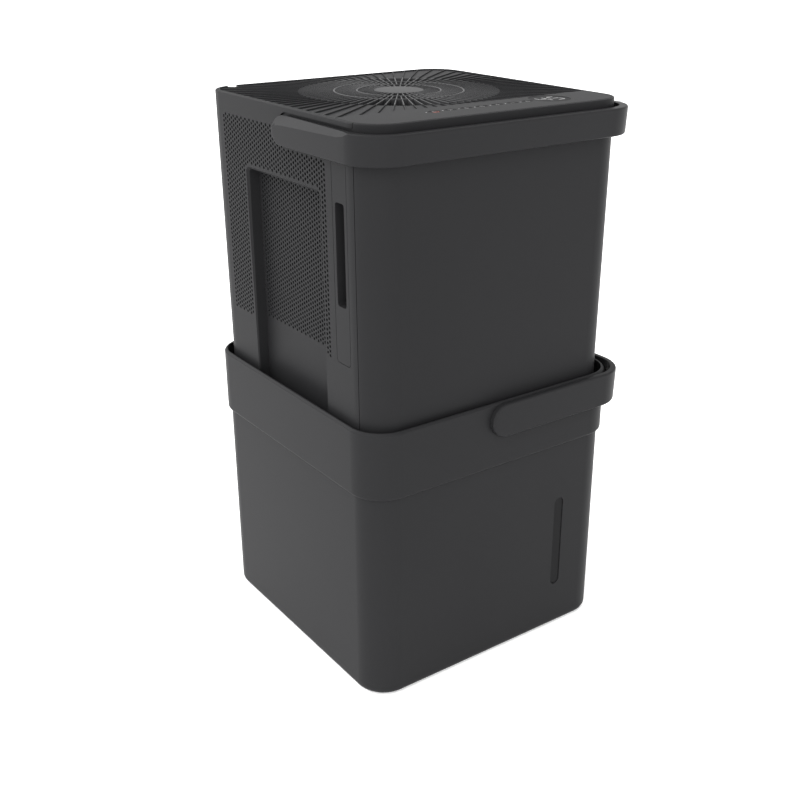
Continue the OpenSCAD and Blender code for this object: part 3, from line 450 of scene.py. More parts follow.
# Bare rolled aluminium: pale, with a streaky satin shine.
fin_stock = uneven("bare_aluminium_fins", "#c9cccf", 500, 0.32, 0.5, metallic=1)

# Bare copper: drawn smooth, but dulled to brown in clouds.
copper, tree, shader = new_material("bare_copper_tube", {"Metallic": 1, "Roughness": 0.32})
two_tone(tree, shader, 60, 4, linear("#8a5c40"), linear("#6a4230"))

# Stoved enamel: black and glossy, with the slight ripple of a sprayed coat.
enamel, tree, shader = new_material("black_stoving_enamel", {
    "Base Color": linear("#1c1c1e"), "Roughness": 0.25})
spot = add(tree, "ShaderNodeTexCoord").outputs["Object"]
peel = add(tree, "ShaderNodeTexNoise", {}, {"Scale": 350, "Detail": 2}, {"Vector": spot})
swell = {"Strength": 0.3, "Distance": 0.03 * mm}
ripple = add(tree, "ShaderNodeBump", {}, swell, {"Height": peel.outputs["Fac"]})
tree.links.new(ripple.outputs["Normal"], shader.inputs["Normal"])

# Soft rubber: nearly black and matt, with a patchy bloom.
soft_rubber = uneven("soft_black_rubber", "#1f1f20", 150, 0.7, 0.88, detail=3)

dress(fin_stock, "evaporator", "condenser")
dress(copper, "refrigerant_pipes")
dress(enamel, "compressor", "accumulator")
dress(soft_rubber, "compressor_feet", "drain_bung", "cord_gland")

# ------------------------ fan
# An axial fan lies under the grille. Its motor hangs from a pressed bracket, and the
# rotor is pushed onto the ground shaft.

# Zinc-plated steel: grey, with a spangle whose grains shine differently.
plated, tree, shader = new_material("zinc_plated_pressing", {
    "Base Color": linear("#8c8d90"), "Metallic": 1})
spot = add(tree, "ShaderNodeTexCoord").outputs["Object"]
spangle = add(tree, "ShaderNodeTexVoronoi", {}, {"Scale": 260}, {"Vector": spot})
span = {"To Min": 0.34, "To Max": 0.5}
blur = add(tree, "ShaderNodeMapRange", {}, span, {"Value": spangle.outputs["Distance"]})
tree.links.new(blur.outputs["Result"], shader.inputs["Roughness"])
dress(plated, "fan_motor", "motor_bracket", "motor_shaft")

# ------------------------ electrics and float
# The display's board is green glass epoxy, the capacitor and the float are pale mouldings,
# and the net is woven nylon, welded into the filter frame.

# Glass epoxy under solder resist: green and glossy, in a paler grid of tracks.
board, tree, shader = new_material("green_glass_epoxy", {"Roughness": 0.3})
spot = add(tree, "ShaderNodeTexCoord").outputs["Object"]
colours = {"Color1": linear("#1f5a35"), "Color2": linear("#246640"), "Mortar": linear("#2f7d4e")}
tracks = add(tree, "ShaderNodeTexBrick", {}, {"Scale": 120, **colours}, {"Vector": spot})
tree.links.new(tracks.outputs["Color"], shader.inputs["Base Color"])

# Natural polypropylene: milky, smooth and soft in its shine.
pale_pp = moulded("pale_polypropylene", "#d6d6d0", rough=0.45, grain=2.5, depth=0.01)

# Woven nylon: a check of pale threads and dark gaps, 0.7 mm apart.
net, tree, shader = new_material("woven_nylon_net", {"Roughness": 0.7})
spot = add(tree, "ShaderNodeTexCoord").outputs["Object"]
colours = {"Color1": linear("#8f979b"), "Color2": linear("#4b5054")}
weave = add(tree, "ShaderNodeTexChecker", {}, {"Scale": 1400, **colours}, {"Vector": spot})
tree.links.new(weave.outputs["Color"], shader.inputs["Base Color"])
dress(board, "display_board")
dress(pale_pp, "run_capacitor", "float")
dress(net, "filter_mesh")

# ------------------------ head covers
# Front and rear covers are U-shaped mouldings that close on the side panels at two
# upright seams. Their faces draw in a little towards the base, and the top edge is soft.
# The rear one has a round pocket for the drain spout and the hole for the mains lead.

head_half, head_round, skin = 157.5, 35, 2.5
base_z, top_z, lip_z, draft = 240, 601, 600.8, 2.3
seam_y, seam = 131, 0.5
housing_abs = moulded("charcoal_abs_housing", "#232324", rough=0.43)


def inset(z):
    """How far the head's face lies inside its top width at a height, in mm."""
    return -draft * (top_z - z) / (top_z - base_z)


def turn_at(y):
    """Direction in degrees, off the side face, at which the corner passes a distance from the middle."""
    return math.degrees(math.asin((y - head_half + head_round) / head_round))


# Section of the covers' wall, its top edge rounded.
edge_r = 1.3
edge_z = lip_z - edge_r
cover_section = (
    [(inset(base_z), base_z), (inset(edge_z), edge_z)]
    + arc((inset(edge_z) - edge_r, edge_z), edge_r, 0, 90, 5)[1:]
    + [(inset(lip_z) - skin, lip_z), (inset(base_z) - skin, base_z)]
)
front_walk = around(head_half, head_round, 180 + turn_at(seam_y), 360 - turn_at(seam_y), 4)
front_cover = soften(sweep(front_walk, head_round, cover_section, closed=False), 0.45, 2, 40)
fitted("front_cover_moulding", front_cover, housing_abs, "front_cover", "head")

rear_walk = around(head_half, head_round, turn_at(seam_y), 180 - turn_at(seam_y), 4)
spout_x, spout_z, spout_hole_r, pocket_y, spout_pocket_r = -62, 333, 8.8, 135.79, 24
gland_x, gland_z, gland_hole_r = -100, 566, 8.1
notch_low, notch_high, notch_deep = -132, -119, 2.5  # notch in the rear edge: ends along X, and depth
rear_cover = carve(
    sweep(rear_walk, head_round, cover_section, closed=False),
    ("join", rod((spout_x, 0, spout_z), spout_pocket_r + skin, 1, pocket_y - skin, 154.6, 64)),
    ("cut", rod((spout_x, 0, spout_z), spout_pocket_r, 1, pocket_y, 170, 64)),
    ("cut", rod((spout_x, 0, spout_z), spout_hole_r, 1, 120, 170)),
    ("cut", rod((gland_x, 0, gland_z), gland_hole_r, 1, 140, 170)),
    ("cut", box((notch_low, head_half - 6, lip_z - notch_deep), (notch_high, head_half + 6, lip_z + 5))),
)
fitted("rear_cover_moulding", soften(rear_cover, 0.5, 2, 40), housing_abs, "rear_cover", "head")

# ------------------------ side panels
# The left panel is the air inlet: a field of small round holes round and inside the
# recess that passes the bucket's post. The right panel is the same moulding, closed.

recess_x, recess_y, recess_half, recess_top, recess_r, chamfer = 143.5, -3, 72.5, 529, 4, 3
recess_front = -73.3  # the recess runs from here to recess_y + recess_half
pivot_y, pivot_z, pivot_hole_r, pocket_x, pocket_low, pocket_high = -16, 579.5, 6.3, 155.5, 563, 596
grip_low, grip_high = (-119, 368), (-95, 563)  # corners of the filter's grip panel, as (y, z)


def outline(low, high, radii, steps=6):
    """Rectangle between two corners with its own radius at each: low-low, high-low, high-high, low-high."""
    (a0, b0), (a1, b1) = low, high
    points = []
    corners = ((a0, b0, 180), (a1, b0, 270), (a1, b1, 0), (a0, b1, 90))
    for (a, b, start), r in zip(corners, radii):
        if r:
            centre = (a + (r if a == a0 else -r), b + (r if b == b0 else -r))
            points += arc(centre, r, start, start + 90, steps)
        else:
            points.append((a, b))
    return points


def sideways(stages):
    """A block along X from (x, outline of y and z) stages; x may follow the height."""
    return loft([[(x(z) if callable(x) else x, y, z) for y, z in points] for x, points in stages])


def side_panel():
    """The right-hand panel's moulding: wall, recess tray and handle pocket, its edges softened."""
    wall_half = turn_at(seam_y - seam)
    walk = around(head_half, head_round, -wall_half, wall_half, 4)
    y0, y1, low = recess_front, recess_y + recess_half, base_z - 9
    tray_r, flare, flared_r = recess_r + skin, chamfer + 10, recess_r + chamfer + 10
    tray = outline((y0 - skin, base_z), (y1 + skin, recess_top + skin), (0, 0, tray_r, tray_r))
    hollow = outline((y0, low), (y1, recess_top), (0, 0, recess_r, recess_r))
    # Cut 10 mm proud of the face, so the bevel is as wide as the chamfer there, and half that at the front.
    flared = outline((y0 - flare / 2, low), (y1 + flare, recess_top + flare), (0, 0, flared_r, flared_r))
    pocket_r = (pocket_high - pocket_low) / 2
    deep_r, front = pocket_r + skin, seam - seam_y
    deep = outline((front + 0.1, pocket_low - skin), (pivot_y + deep_r, pocket_high + skin),
                   (0, deep_r, deep_r, 0), 12)
    pocket = outline((-145, pocket_low), (pivot_y + pocket_r, pocket_high), (0, pocket_r, pocket_r, 0), 12)
    panel = carve(
        sweep(walk, head_round, cover_section, closed=False),
        ("join", sideways([(recess_x - skin, tray), (lambda z: head_half + inset(z) - 1.2, tray)])),
        ("join", sideways([(pocket_x - skin, deep), (pocket_x + 0.4, deep)])),
        ("cut", sideways([(recess_x, hollow), (head_half - chamfer, hollow), (head_half + 10, flared)])),
        ("cut", sideways([(pocket_x, pocket), (170, pocket)])),
        ("cut", rod((0, pivot_y, pivot_z), pivot_hole_r, 0, 145, 165)),
    )
    return soften(panel, 0.45, 2, 40)


fitted("right_panel_moulding", side_panel(), housing_abs, "right_side_panel", "head")


def flipped(mesh):
    """The same moulding for the left-hand side, its faces still pointing outwards."""
    mesh.transform(Matrix.Scale(-1, 4, (1, 0, 0)))
    mesh.flip_normals()
    return mesh


def group_tree(name, inputs):
    """A Geometry Nodes tree that takes and gives geometry, with named inputs: the tree and its two ends."""
    tree = bpy.data.node_groups.new(name, "GeometryNodeTree")
    for label, kind in (("Geometry", "Geometry"), *inputs):
        tree.interface.new_socket(label, in_out="INPUT", socket_type="NodeSocket" + kind)
    tree.interface.new_socket("Geometry", in_out="OUTPUT", socket_type="NodeSocketGeometry")
    return tree, tree.nodes.new("NodeGroupInput").outputs, tree.nodes.new("NodeGroupOutput")


def grown(mesh, tree, values):
    """Runs a tree on a mesh with values for its named inputs and returns the plain mesh it makes."""
    obj = mesh_object("seed", mesh)
    nodes = obj.modifiers.new("nodes", "NODES")
    nodes.node_group = tree
    keys = {socket.name: socket.identifier for socket in tree.interface.items_tree}
    for label, value in values.items():
        nodes[keys[label]] = value
    result = plain(obj)
    bpy.data.objects.remove(obj)
    return result


# The drills stand on a grid whose every second column is raised by half a pitch. Those that
# come nearer than Land to the input mesh, the land that stays whole, are left out.
tree, give, out = group_tree("staggered_drills", (
    ("Pitch", "Float"), ("Column gap", "Float"), ("Hole radius", "Float"), ("Columns", "Int"),
    ("Rows", "Int"), ("First hole", "Vector"), ("Land", "Float"), ("Drill length", "Float"),
    ("Facets", "Int"), ("Material", "Material")))
place = add(tree, "ShaderNodeSeparateXYZ", {}, {}, {0: add(tree, "GeometryNodeInputPosition").outputs[0]})
sizes, from_corner = [], []
for count, gap, axis in (("Columns", "Column gap", "X"), ("Rows", "Pitch", "Y")):
    steps = add(tree, "ShaderNodeMath", {"operation": "SUBTRACT"}, {1: 1}, {0: give[count]}).outputs[0]
    size = add(tree, "ShaderNodeMath", {"operation": "MULTIPLY"}, {}, {0: give[gap], 1: steps}).outputs[0]
    sizes.append(size)
    half = add(tree, "ShaderNodeMath", {"operation": "MULTIPLY"}, {1: 0.5}, {0: size}).outputs[0]
    both = {0: place.outputs[axis], 1: half}
    from_corner.append(add(tree, "ShaderNodeMath", {"operation": "ADD"}, {}, both).outputs[0])
along, up = from_corner
grid = add(tree, "GeometryNodeMeshGrid", {}, {}, {
    "Size X": sizes[0], "Size Y": sizes[1], "Vertices X": give["Columns"], "Vertices Y": give["Rows"]})
column = add(tree, "ShaderNodeMath", {"operation": "DIVIDE"}, {}, {
    0: along, 1: give["Column gap"]}).outputs[0]
odd = add(tree, "ShaderNodeMath", {"operation": "PINGPONG"}, {1: 1}, {0: column}).outputs[0]
rise = add(tree, "ShaderNodeMath", {"operation": "MULTIPLY"}, {}, {0: odd, 1: give["Pitch"]}).outputs[0]
stagger = add(tree, "ShaderNodeMath", {"operation": "MULTIPLY_ADD"}, {1: 0.5}, {0: rise, 2: up}).outputs[0]
spot = add(tree, "ShaderNodeCombineXYZ", {}, {}, {"Y": along, "Z": stagger}).outputs[0]
spot = add(tree, "ShaderNodeVectorMath", {"operation": "ADD"}, {}, {
    0: spot, 1: give["First hole"]}).outputs[0]
centres = add(tree, "GeometryNodeSetPosition", {}, {}, {"Geometry": grid.outputs["Mesh"], "Position": spot})
near = add(tree, "GeometryNodeProximity", {"target_element": "FACES"}, {}, {0: give["Geometry"]})
close = add(tree, "FunctionNodeCompare", {"operation": "LESS_THAN"}, {}, {
    "A": near.outputs["Distance"], "B": give["Land"]}).outputs[0]
kept = add(tree, "GeometryNodeDeleteGeometry", {"domain": "POINT"}, {}, {0: centres.outputs[0], 1: close})
drill = add(tree, "GeometryNodeMeshCylinder", {}, {}, {
    "Vertices": give["Facets"], "Radius": give["Hole radius"], "Depth": give["Drill length"]})
drills = add(tree, "GeometryNodeInstanceOnPoints", {}, {"Rotation": (0, math.pi / 2, 0)},
             {"Points": kept.outputs[0], "Instance": drill.outputs["Mesh"]})
made = add(tree, "GeometryNodeRealizeInstances", {}, {}, {0: drills.outputs[0]})
coat = add(tree, "GeometryNodeSetMaterial", {}, {}, {0: made.outputs[0], "Material": give["Material"]})
tree.links.new(coat.outputs[0], out.inputs[0])

# Land with no holes: round the recess's edge and behind the handle's arm.
drill_x, first_y, first_z, land_foot = -150, -82.3, 369.5, 200
rim_inner = outline((recess_front + 1, land_foot), (recess_y + 71.5, recess_top - 1.5), (0, 0, 4, 4))
rim_outer = outline((recess_front - 2.1, land_foot), (recess_y + 76, recess_top + 3.5), (0, 0, 7, 7))
arm_zone = outline((-131, pocket_low + 0.5), (pivot_y + 16, pocket_high), (0, 16, 16, 0), 10)
land = bmesh.new()
row_in, row_out, row_arm = [[land.verts.new(Vector((drill_x, y, z)) * mm) for y, z in ring]
                            for ring in (rim_inner, rim_outer, arm_zone)]
for k in range(1, len(row_in)):
    land.faces.new((row_in[k], row_out[k], row_out[(k + 1) % len(row_in)], row_in[(k + 1) % len(row_in)]))
land.faces.new(row_arm)
land_mesh = bpy.data.meshes.new("land")
land.to_mesh(land_mesh)
land.free()

hole_pitch, column_gap, hole_r, land_wide = 4.82, 4.28, 1.6, 2.2
drills = grown(land_mesh, tree, {
    "Pitch": hole_pitch * mm, "Column gap": column_gap * mm, "Hole radius": hole_r * mm,
    "Columns": 47, "Rows": 44, "First hole": Vector((drill_x, first_y, first_z)) * mm,
    "Land": land_wide * mm, "Drill length": 40 * mm, "Facets": 10, "Material": housing_abs})
grip_hole = outline([g - seam for g in grip_low], [g + seam for g in grip_high], (4 + seam, 4 + seam, 0, 0))
left_panel = carve(
    flipped(side_panel()),
    ("cut", sideways([(-170, grip_hole), (-140, grip_hole)])),
    ("cut", drills),
)
fitted("left_panel_perforated", left_panel, housing_abs, "left_side_panel", "head")

# ------------------------ air filter
# A washable filter drawn out of the left side: a grip panel with a finger slot, flush
# with the side panel, on a frame whose bars and fine ribs hold the net.

slot_low, slot_high, slot_deep, slot_wall = (-114.5, 426), (-99.5, 526), 12, 1.5
frame_low, frame_high = Vector((-143, -110, 372)), Vector((125, -102, 559))
tie_x, tie_tall, bar_wide, bay_wide, bay_step = -155.2, 12, 8, 80, 86
rib_first, rib_step, rib_half, rib_end = 408.5, 28.5, 0.8, 3


def grip_x(z):
    """Where the grip panel's face lies at a height, flush with the left side."""
    return -(head_half + inset(z))


grip_face = outline(grip_low, grip_high, (4, 4, 0.6, 0.6))
slot = outline(slot_low, slot_high, (3.2, 3.2, 3.2, 3.2))
slot_tube = outline([s - slot_wall for s in slot_low], [s + slot_wall for s in slot_high], (4, 4, 4, 4))
ties = [box((tie_x, frame_low.y, z), (frame_low.x + 0.1, frame_high.y, z + tie_tall))
        for z in (frame_low.z, frame_high.z - tie_tall)]
grip = carve(
    sideways([(grip_x, grip_face), (lambda z: grip_x(z) + skin, grip_face)]),
    ("join", sideways([(-156, slot_tube), (-head_half + skin + slot_deep, slot_tube)])),
    ("cut", sideways([(-170, slot), (-head_half + slot_deep, slot)])),
    *[("join", tie) for tie in ties],
)
fitted("filter_grip", soften(grip, 0.4, 2, 40), housing_abs, "filter_frame", "filter")
frame_bars = box(frame_low, frame_high)
for i in range(3):
    x = frame_low.x + bar_wide + bay_step * i
    hole = outline((x, frame_low.z + bar_wide), (x + bay_wide, frame_high.z - bar_wide), (3, 3, 3, 3))
    cut = loft([[(a, y, b) for a, b in hole] for y in (-115, -95)])
    frame_bars = carve(frame_bars, ("cut", cut))
frame_bars = soften(frame_bars, 0.5, 2, 40)
for k in range(5):
    z = rib_first + rib_step * k
    rib = box((frame_low.x + rib_end, frame_low.y + 1, z - rib_half),
              (frame_high.x - rib_end, frame_low.y + 3.4, z + rib_half))
    frame_bars = carve(frame_bars, ("join", rib))
fitted("filter_frame_and_ribs", frame_bars, housing_abs, "filter_frame", "filter")

# ------------------------ top plate and outlet grille
# One moulding: a plate with a soft rim, a sunken field of fine flutes fanning out from
# the outlet, and the grille itself, with two rings, 72 vanes and a blank hub.

plate_half, plate_round, plate_low = 154.7, 32.2, 596.5
axis_y, hub_r, vane_count = 20.5, 26, 72
mouth_r, throat_r = 104, 93
flute_sink, field_half, field_front, field_round = 1.4, 152.6, -98, 29.5
cover_abs = moulded("charcoal_abs_top_cover", "#29292a", rough=0.45, grain=0.8, depth=0.02, spec=0.03)

# Copies of the input piece stand round an axis, evenly turned from the first angle on.
wheel, give, out = group_tree("pattern_round_an_axis", (
    ("Pieces", "Int"), ("First angle", "Float"), ("Axis", "Vector"), ("Material", "Material")))
count = add(wheel, "GeometryNodeMeshLine", {}, {"Offset": (0, 0, 0)}, {
    "Count": give["Pieces"], "Start Location": give["Axis"]})
order = add(wheel, "GeometryNodeInputIndex").outputs[0]
full = add(wheel, "ShaderNodeMath", {"operation": "DIVIDE"}, {0: 2 * math.pi}, {1: give["Pieces"]}).outputs[0]
turn = add(wheel, "ShaderNodeMath", {"operation": "MULTIPLY_ADD"}, {}, {
    0: order, 1: full, 2: give["First angle"]}).outputs[0]
euler = add(wheel, "ShaderNodeCombineXYZ", {}, {}, {"Z": turn}).outputs[0]
spin = add(wheel, "FunctionNodeEulerToRotation", {}, {}, {0: euler}).outputs[0]
spokes = add(wheel, "GeometryNodeInstanceOnPoints", {}, {}, {
    "Points": count.outputs[0], "Instance": give["Geometry"], "Rotation": spin})
made = add(wheel, "GeometryNodeRealizeInstances", {}, {}, {0: spokes.outputs[0]})
coat = add(wheel, "GeometryNodeSetMaterial", {}, {}, {0: made.outputs[0], "Material": give["Material"]})
wheel.links.new(coat.outputs[0], out.inputs[0])


def fanned(piece, pieces, first):
    """A piece repeated round the grille's axis, the first one at an angle in degrees."""
    return grown(piece, wheel, {"Pieces": pieces, "First angle": math.radians(first),
                                "Axis": (0, axis_y * mm, 0), "Material": cover_abs})


def lathe(section):
    """Turns a closed section of (radius, height) in mm round the grille's axis."""
    rings = []
    for i in range(144):
        a = 2 * math.pi * i / 144
        rings.append([(r * math.cos(a), axis_y + r * math.sin(a), z) for r, z in section])
    return loft(rings, closed=True)


def slab(points, low, high):
    """An upright block over an outline in mm, between two heights."""
    return loft([[(x, y, z) for x, y in points] for z in (low, high)])


lens_x, lens_y, lens_r, lens_deep, lens_gap = 84, -120, 21, 1.2, 0.15
key_y, key_long, key_wide, key_deep, key_gap = -121, 6.4, 4.0, 0.9, 0.25
dot_back, dot_r = 9, 0.8  # the lamp beside each key
key_places = [-60 + 19 * k for k in range(7)]


def oval(x, y, grow):
    """Outline of one touch key on the plate."""
    turn = [2 * math.pi * k / 36 for k in range(36)]
    return [(x + (key_long + grow) * math.cos(a), y + (key_wide + grow) * math.sin(a)) for a in turn]


pitch = 360 / vane_count
rim_r = 0.4
rim = [(0, plate_low)] + [(rim_r * (1 - math.cos(a)), top_z - rim_r * (1 - math.sin(a)))
                          for a in (math.radians(15 * k) for k in range(7))]
plate_walk = around(plate_half, plate_round, step=6)
plate = loft([[(*(c + w * (plate_round - inward)), z) for c, w in plate_walk] for inward, z in rim])
flute_field = outline((-field_half, field_front), (field_half, field_half),
                      (0, 0, field_round, field_round), 10)
vane_tall, crown = 9, 0.3  # crown: how far the tops of ribs and vanes are cut back at their edges
rib_ends = []
for r, half in ((96, 0.57), (250, 0.65)):  # radius and half width at the rib's two ends
    side = [(half, top_z - 6), (half, top_z - crown), (half - crown, top_z + 0.02)]
    rib_ends.append([(r, -half, top_z - 6)] + [(r, y, z) for y, z in side]
                    + [(r, -y, z) for y, z in side[:0:-1]])
flute_rib = loft(rib_ends)


def disc_cutter(radius, low, high):
    """A round cutter on the grille's axis."""
    return lathe([(0.01, low), (radius, low), (radius, high), (0.01, high)])


flutes = carve(
    slab(flute_field, top_z - flute_sink, top_z + 5),
    ("cut", disc_cutter(mouth_r + 1, top_z - 8, top_z + 8)),
    ("cut", fanned(flute_rib, vane_count, pitch / 2)),
)
lip = top_z - flute_sink
flare = lathe(
    [(mouth_r + 2, lip)]
    + arc((mouth_r + 0.5, lip - 0.8), 0.8, 90, 138, 4)
    + [(throat_r, top_z - 10), (throat_r, top_z - 12), (throat_r + 2, top_z - 12)]
    + [(mouth_r + 2, plate_low + 0.3)]
)
plate = carve(
    plate,
    ("cut", disc_cutter(mouth_r + 1.3, top_z - 11, top_z + 9)),
    ("cut", box((notch_low, 150, lip_z - notch_deep), (notch_high, 160, top_z + 5))),
    ("cut", flutes),
    ("join", flare),
    ("cut", rod((lens_x, lens_y, 0), lens_r + lens_gap, 2, top_z - lens_deep, top_z + 5, 96)),
    *[("cut", slab(oval(x, key_y, key_gap), top_z - key_deep, top_z + 5)) for x in key_places],
    *[("cut", rod((x - dot_back, key_y, 0), dot_r + 0.05, 2, top_z - key_deep, top_z + 5, 20))
      for x in key_places],
)
fitted("top_plate", plate, cover_abs, "top_cover", "head")


def vane(inner):
    """One vane with a rounded top, from a radius out to the flare, along +X from the grille's axis."""
    low, high, half = top_z - vane_tall, top_z - 0.25, 1.15 / 2
    crest = [(half, high - crown), (half - crown, high), (crown - half, high), (-half, high - crown)]
    ends = ((inner, inner), (throat_r + 0.8, mouth_r + 2.6))  # radius at the vane's foot and at its top
    return loft([[(foot, -half, low), (foot, half, low)] + [(tip, y, z) for y, z in crest]
                 for foot, tip in ends])


def ring_rib(radius):
    """A ring that ties the vanes, with a rounded top."""
    low, half = top_z - vane_tall, 0.75
    crest = [(half, top_z - crown), (half - crown, top_z), (crown - half, top_z), (-half, top_z - crown)]
    return lathe([(radius - half, low), (radius + half, low)] + [(radius + r, z) for r, z in crest])


# Every second vane starts at the inner ring, so that they don't crowd at the hub.
inner_ring, outer_ring = 44, 68
grille = carve(
    fanned(vane(hub_r - 2), vane_count // 2, pitch / 2),
    ("join", fanned(vane(inner_ring), vane_count // 2, pitch * 1.5)),
    ("join", ring_rib(inner_ring)),
    ("join", ring_rib(outer_ring)),
)
grille_abs = moulded("satin_abs_grille", "#343435", rough=0.36, grain=0.8, depth=0.01, spec=0.14)
fitted("outlet_grille", grille, grille_abs, "top_cover", "head")
hub_abs = moulded("grey_abs_hub_disc", "#272728", rough=0.38, grain=0.8, depth=0.01, spec=0.08)
hub = lathe([(0.01, top_z - vane_tall), (hub_r, top_z - vane_tall), (hub_r, top_z - 0.8),
             (hub_r - 0.25, top_z - 0.25), (hub_r - 0.8, top_z), (0.01, top_z)])
fitted("hub_disc", hub, hub_abs, "top_cover", "head")

# ------------------------ control strip
# Seven touch keys and a round display sit in front of the grille. The keys are smoked pads
# let into the plate, with printed marks, and the display a smoked disc with lit digits.

# Pad-printed ink: pale grey and matt, a little thin in places.
ink, tree, shader = new_material("pale_pad_print", {"Roughness": 0.6})
two_tone(tree, shader, 700, 2, linear("#7c7c7c"), linear("#8a8a8a"))


def lit(name, code, power):
    """A light-emitting mark: diffused, so that it glows evenly, with a faint mottle in its diffuser."""
    material, tree, shader = new_material(name, {"Emission Strength": power, "Roughness": 0.4})
    base = linear(code)
    glow = two_tone(tree, shader, 500, 1, [c * 0.9 for c in base[:3]] + [1], base)
    tree.links.new(glow, shader.inputs["Emission Color"])
    return material


def stroke(points, wide, low, high):
    """A printed line through points in mm on the plate, as a thin slab with square ends."""
    line = bmesh.new()
    for (xa, ya), (xb, yb) in zip(points, points[1:]):
        a, b = Vector((xa, ya)), Vector((xb, yb))
        way = (b - a).normalized()
        side = Vector((-way.y, way.x)) * wide / 2
        a, b = a - way * wide / 2, b + way * wide / 2
        ring = [a - side, b - side, b + side, a + side]
        lower, upper = [[line.verts.new(Vector((p.x, p.y, z)) * mm) for p in ring] for z in (low, high)]
        line.faces.new(list(reversed(lower)))
        line.faces.new(upper)
        for k in range(4):
            line.faces.new((lower[k], lower[(k + 1) % 4], upper[(k + 1) % 4], upper[k]))
    mesh = bpy.data.meshes.new("stroke")
    line.to_mesh(mesh)
    line.free()
    return mesh


def on_plate(name, shapes, material):
    """Makes one piece of several separate shapes on the top plate. The CAD has no node for it."""
    whole = bmesh.new()
    for shape in shapes:
        whole.from_mesh(shape)
    mesh = bpy.data.meshes.new(name)
    whole.to_mesh(mesh)
    whole.free()
    piece = mesh_object(name, mesh, material)
    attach(piece, "head")


key_pad = moulded("smoked_key_pads", "#131314", rough=0.4, grain=0.8, depth=0.01, spec=0.01)
pad_low, pad_high = top_z - 0.8, top_z - 0.12
pad_steps = ((0, pad_low), (0, pad_high - 0.15), (-0.2, pad_high))
pads = [loft([[(x, y, z) for x, y in oval(key_x, key_y, grow)] for grow, z in pad_steps])
        for key_x in key_places]
on_plate("touch_keys", pads, key_pad)

# Each icon is a list of lines, as points in mm from the key's middle.
icons = [
    [arc((0, 0), 2.0, 120, 420, 12), [(0, 0.4), (0, 2.6)]],                              # on and standby
    [[(0, 0.5), (-0.9, 2.4)], [(0.4, -0.3), (2.4, 0.4)], [(-0.4, -0.3), (-1.2, -2.2)]],  # fan
    [[(0, 2.6), (-1.6, -0.4), (-1.0, -2.0), (1.0, -2.0), (1.6, -0.4), (0, 2.6)]],        # water drop
    [arc((0, 0), 2.3, 0, 360, 14), [(0, 1.6), (0, 0), (1.2, 0)]],                        # timer
    [[(-2.2, 0), (2.2, 0)], [(0, -2.2), (0, 2.2)]],                                      # more
    [[(-2.2, 0), (2.2, 0)]],                                                             # less
    [[(-1.8, -2), (1.8, -2), (1.8, 0.4), (-1.8, 0.4), (-1.8, -2)],
     [(-1, 0.4), (-1, 2), (1, 2), (1, 0.4)]],                                            # lock
]
line_wide, print_low, print_high = 0.7, pad_high - 0.1, pad_high + 0.05
marks = []
for key_x, icon in zip(key_places, icons):
    for line in icon:
        marks.append(stroke([(key_x + x, key_y + y) for x, y in line], line_wide, print_low, print_high))
on_plate("key_icons", marks, ink)
dots = [rod((x - dot_back, key_y, 0), dot_r, 2, pad_low, top_z - 0.05, 16) for x in key_places]
on_plate("key_lamps", dots, lit("white_key_lamp", "#c8c8c8", 0.15))
bar_ends = [(key_places[0] + x, key_y - 3.1) for x in (-3.4, 3.4)]
bar = stroke(bar_ends, 0.9, print_low, print_high)
on_plate("standby_bar", [bar], lit("red_standby_lamp", "#c05540", 0.25))

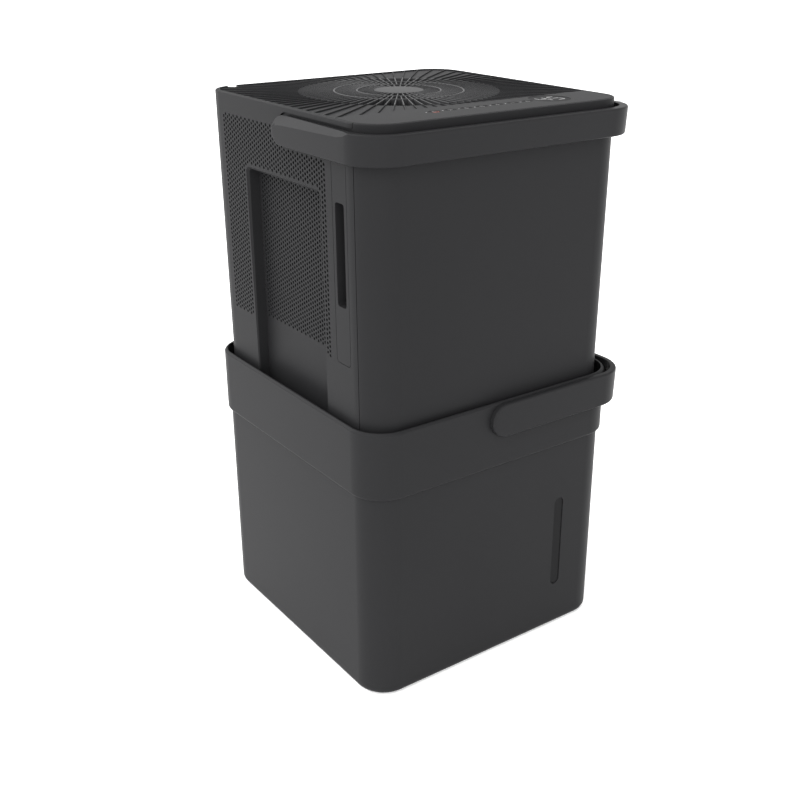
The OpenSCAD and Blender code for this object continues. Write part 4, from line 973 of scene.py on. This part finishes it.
# The display's disc is matt smoked acrylic: nearly black, and too dull to mirror the room.
lens = soften(rod((lens_x, lens_y, 0), lens_r, 2, top_z - lens_deep, top_z - 0.25, 96), 0.25, 2)
display_acrylic = moulded("matt_smoked_acrylic", "#232324", rough=0.48, grain=0.8, depth=0.005, spec=0.02)
fitted("display_disc", lens, display_acrylic, "display_lens", "head")
segments = {  # the strokes of a seven-segment digit, in units of half its width
    "a": ((-1, 2), (1, 2)), "b": ((1, 2), (1, 0)), "c": ((1, 0), (1, -2)), "d": ((-1, -2), (1, -2)),
    "e": ((-1, 0), (-1, -2)), "f": ((-1, 2), (-1, 0)), "g": ((-1, 0), (1, 0)),
}
digit_half, segment_wide = 4.6, 1.5
digit_marks = []
for middle, shown in ((-8, "bcfg"), (8, "acdfg")):  # 4 and 5
    for key in shown:
        ends = [Vector((lens_x + middle, lens_y)) + Vector(end) * digit_half for end in segments[key]]
        way = (ends[1] - ends[0]).normalized() * segment_wide
        digit_marks.append(stroke([ends[0] + way, ends[1] - way], segment_wide, top_z - 0.4, top_z - 0.2))
on_plate("display_digits", digit_marks, lit("pale_display_segments", "#909090", 0.08))

# ------------------------ head handle
# The head's own carrying handle lies round its front, moulded in one with its studs. The
# outer top edge of each arm has a long bevel that narrows and runs out towards the bar.

# Each step along the arm: distance from the pivot, height of the bevel's foot above the
# pivot, and the bevel's width across the top.
bevel_line = ((-14, 2.1, 1.6), (-11, 3.2, 3.2), (-6, 4.4, 4.8), (2, 5.8, 6.4), (12, 6.1, 7.0),
              (111, 8.9, 4.1), (119, 12.6, 1.3), (124, 14, 0))


def arm_bevel(x, h):
    """Foot and width of the bevel at a distance along the arm, where the band's half height is h."""
    for (x0, f0, w0), (x1, f1, w1) in zip(bevel_line, bevel_line[1:]):
        if x0 <= x <= x1:
            share = (x - x0) / (x1 - x0)
            foot, across = f0 + (f1 - f0) * share, w0 + (w1 - w0) * share
            return (foot, across) if foot < h - 0.4 else (h, 0)
    return h, 0


head_bail = bail(out=155, side=167, corner=40, thick=9, band=28, pivot=pivot_z, bevel=arm_bevel)
head_bail = soften(head_bail, 0.8, 2, 55)
to_front = Matrix.Translation((0, pivot_y * mm, 0)) @ Matrix.Rotation(math.radians(-90), 4, "Z")
head_studs = studs(149.2, 159, pivot_z)
for mesh in (head_bail, head_studs):
    mesh.transform(to_front)
head_handle_abs = moulded("satin_charcoal_abs_head_handle", "#242425", rough=0.38)
for name, mesh in (("head_handle_band", head_bail), ("head_handle_studs", head_studs)):
    fitted(name, mesh, head_handle_abs, "head_handle", "head_handle_body")
